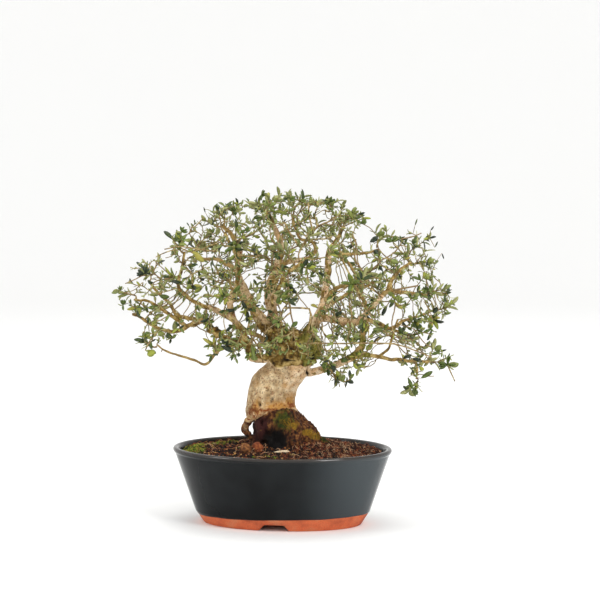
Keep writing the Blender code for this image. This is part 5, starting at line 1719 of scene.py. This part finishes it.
def growDetails(wood, rng):
    # sticks, leaves and whorls at their places, each from the wood behind it: its depth is that wood's
    grown, blades = [], []
    for half, places in details["sticks"]:
        start = nearWood(places[0], wood)
        points = [start] + [(across, up, start[2] - 2) for across, up in places]
        grown.append((smoothRoute(fromFront(points), 9), np.linspace(half, half * 0.7, 9)))
    whorled = [(u, v, u + length * math.cos(turn), v + length * math.sin(turn), length * 0.22, tone)
               for u, v, count, length, tone in details["whorls"]
               for turn in rng.normal(1.4, 1.3, count)]
    toEye = single(fromFront((0, 160, -100)) - fromFront((0, 160, 0)))
    for number, (u, v, tipAcross, tipUp, halfWidth, tone) in enumerate(details["leaves"] + whorled):
        start = nearWood((u, v), wood)
        depth = start[2] - 3
        base, tip = fromFront((u, v, depth)), fromFront((tipAcross, tipUp, depth - rng.uniform(-3, 4)))
        if np.hypot(u - start[0], v - start[1]) > 1.5:
            route = smoothRoute(np.array([fromFront(start), base]), 9)
            grown.append((route, np.full(9, details["stalkHalf"])))
        length = np.linalg.norm(tip - base)
        way = (tip - base) / length
        flat = toEye + rng.normal(0, 0.25 if number < len(details["leaves"]) else 0.8, 3)
        blades.append((base, way, single(flat - way * (flat @ way)), length, halfWidth, tone))
    return grown, blades


def makeCrown():
    # all twigs and leaves, cut into wedges; each takes the place of the CAD sprays that end in it
    rng = np.random.default_rng(crown["seed"])
    grown = growSprays()
    wood = [limbPath(thickness, points, 4.0)[0][3:] for thickness, points in limbs.values()]
    wood += [smoothRoute(twigs[0][0], 6) for _, twigs, _ in grown]
    wood = np.vstack(wood)
    nodes, parents = growTwigs(rng, wood)
    routes, half = twigRoutes(nodes, parents, len(wood))
    groups = smoothTwigs(nodes, routes, half)
    for _, twigs, _ in grown:
        for route, (start, stop) in twigs:
            groups.setdefault(9, []).append((smoothRoute(route, 9), np.linspace(start, stop, 9)))
    singleTwigs, singleLeaves = growDetails(nodes, rng)
    print("twigs:", sum(len(group) for group in groups.values()))
    leafyPaths = [p for group in groups.values() for p, _ in group]
    groups[9] += singleTwigs
    sector = {name: int(sectorOf(twigs[0][0][-1:])[0]) for name, twigs, _ in grown}
    nodesOf = [[name for name, place in sector.items() if place == k] for k in range(crown["sectors"])]
    twigPaint, leafPaint = twigBark(), oliveLeaf()
    for k in range(crown["sectors"]):
        parts, tones = [], []
        for rings, group in groups.items():
            paths, radii = np.array([p for p, _ in group]), np.array([r for _, r in group])
            mine = sectorOf(paths[:, -1]) == k
            if mine.any():
                parts.append(tubeSurfaces(paths[mine], radii[mine], 4))
                tones.append(np.repeat(rng.uniform(size=mine.sum()), rings * 4 + 2))
        points, faces = joinParts(parts)
        putMesh(f"twigs{k + 1}", points, faces, twigPaint, "bark", {"tone": np.concatenate(tones)}, nodesOf[k])
    leaves = pairLeaves(leafyPlaces(leafyPaths, rng), rng)
    own = [(*blade, rng.uniform()) for _, _, blades in grown for blade in blades] + singleLeaves
    leaves = [np.concatenate([values, np.array(ownValues)]) for values, ownValues in zip(leaves, zip(*own))]
    print("leaves:", len(leaves[0]))
    wedge = sectorOf(leaves[0])
    for k in range(crown["sectors"]):
        points, faces, tones, under = leafBlades(*(values[wedge == k] for values in leaves), rng)
        putMesh(f"leaves{k + 1}", points, faces, leafPaint, "leaf", {"tone": tones, "under": under}, nodesOf[k])


def twigBark():
    # this year's and last year's twigs: straw and golden brown, some pinkish, with grey flecks
    return woodBark("oliveTwigBark", *(bark[name] for name in ("twigDark", "twigGold", "twigPale", "twigPink")),
                    260.0)


def oliveLeaf():
    # leathery evergreen leaf: waxy grey-green on top, from dark to fresh by leaf, silver-grey felt underneath,
    # and mottled by noise about 4 mm wide
    material, tree, place = startMaterial("oliveLeafSkin", Roughness=0.45, IOR=1.45)
    mottle = addNode(tree, "TexNoise", links={"Vector": place, "Scale": 240.0, "Detail": 3.0})
    tone = shiftedTone(tree, mottle, 0.35, 0.17)
    top = addNode(tree, "ValToRGB", links={"Fac": tone},
                  stops=[(0.1, foliage["dark"]), (0.38, foliage["green"]), (0.62, foliage["grey"]),
                         (0.82, foliage["fresh"]), (0.97, foliage["yellow"])])
    felt = addNode(tree, "ValToRGB", links={"Fac": tone},
                   stops=[(0.2, foliage["underDark"]), (0.8, foliage["under"])])
    under = addNode(tree, "Attribute", {"attribute_name": "under"}).outputs["Fac"]
    colour = layerColours(tree, top, [(under, felt)])
    rough = addNode(tree, "MapRange", links={"Value": under, "To Min": 0.4, "To Max": 0.8})
    veins = addNode(tree, "TexNoise", links={"Vector": place, "Scale": 1300.0, "Detail": 2.0})
    return finishMaterial(material, veins, 0.3, 0.0002, Base_Color=colour, Roughness=rough)


makeCrown()
print("crown ready")
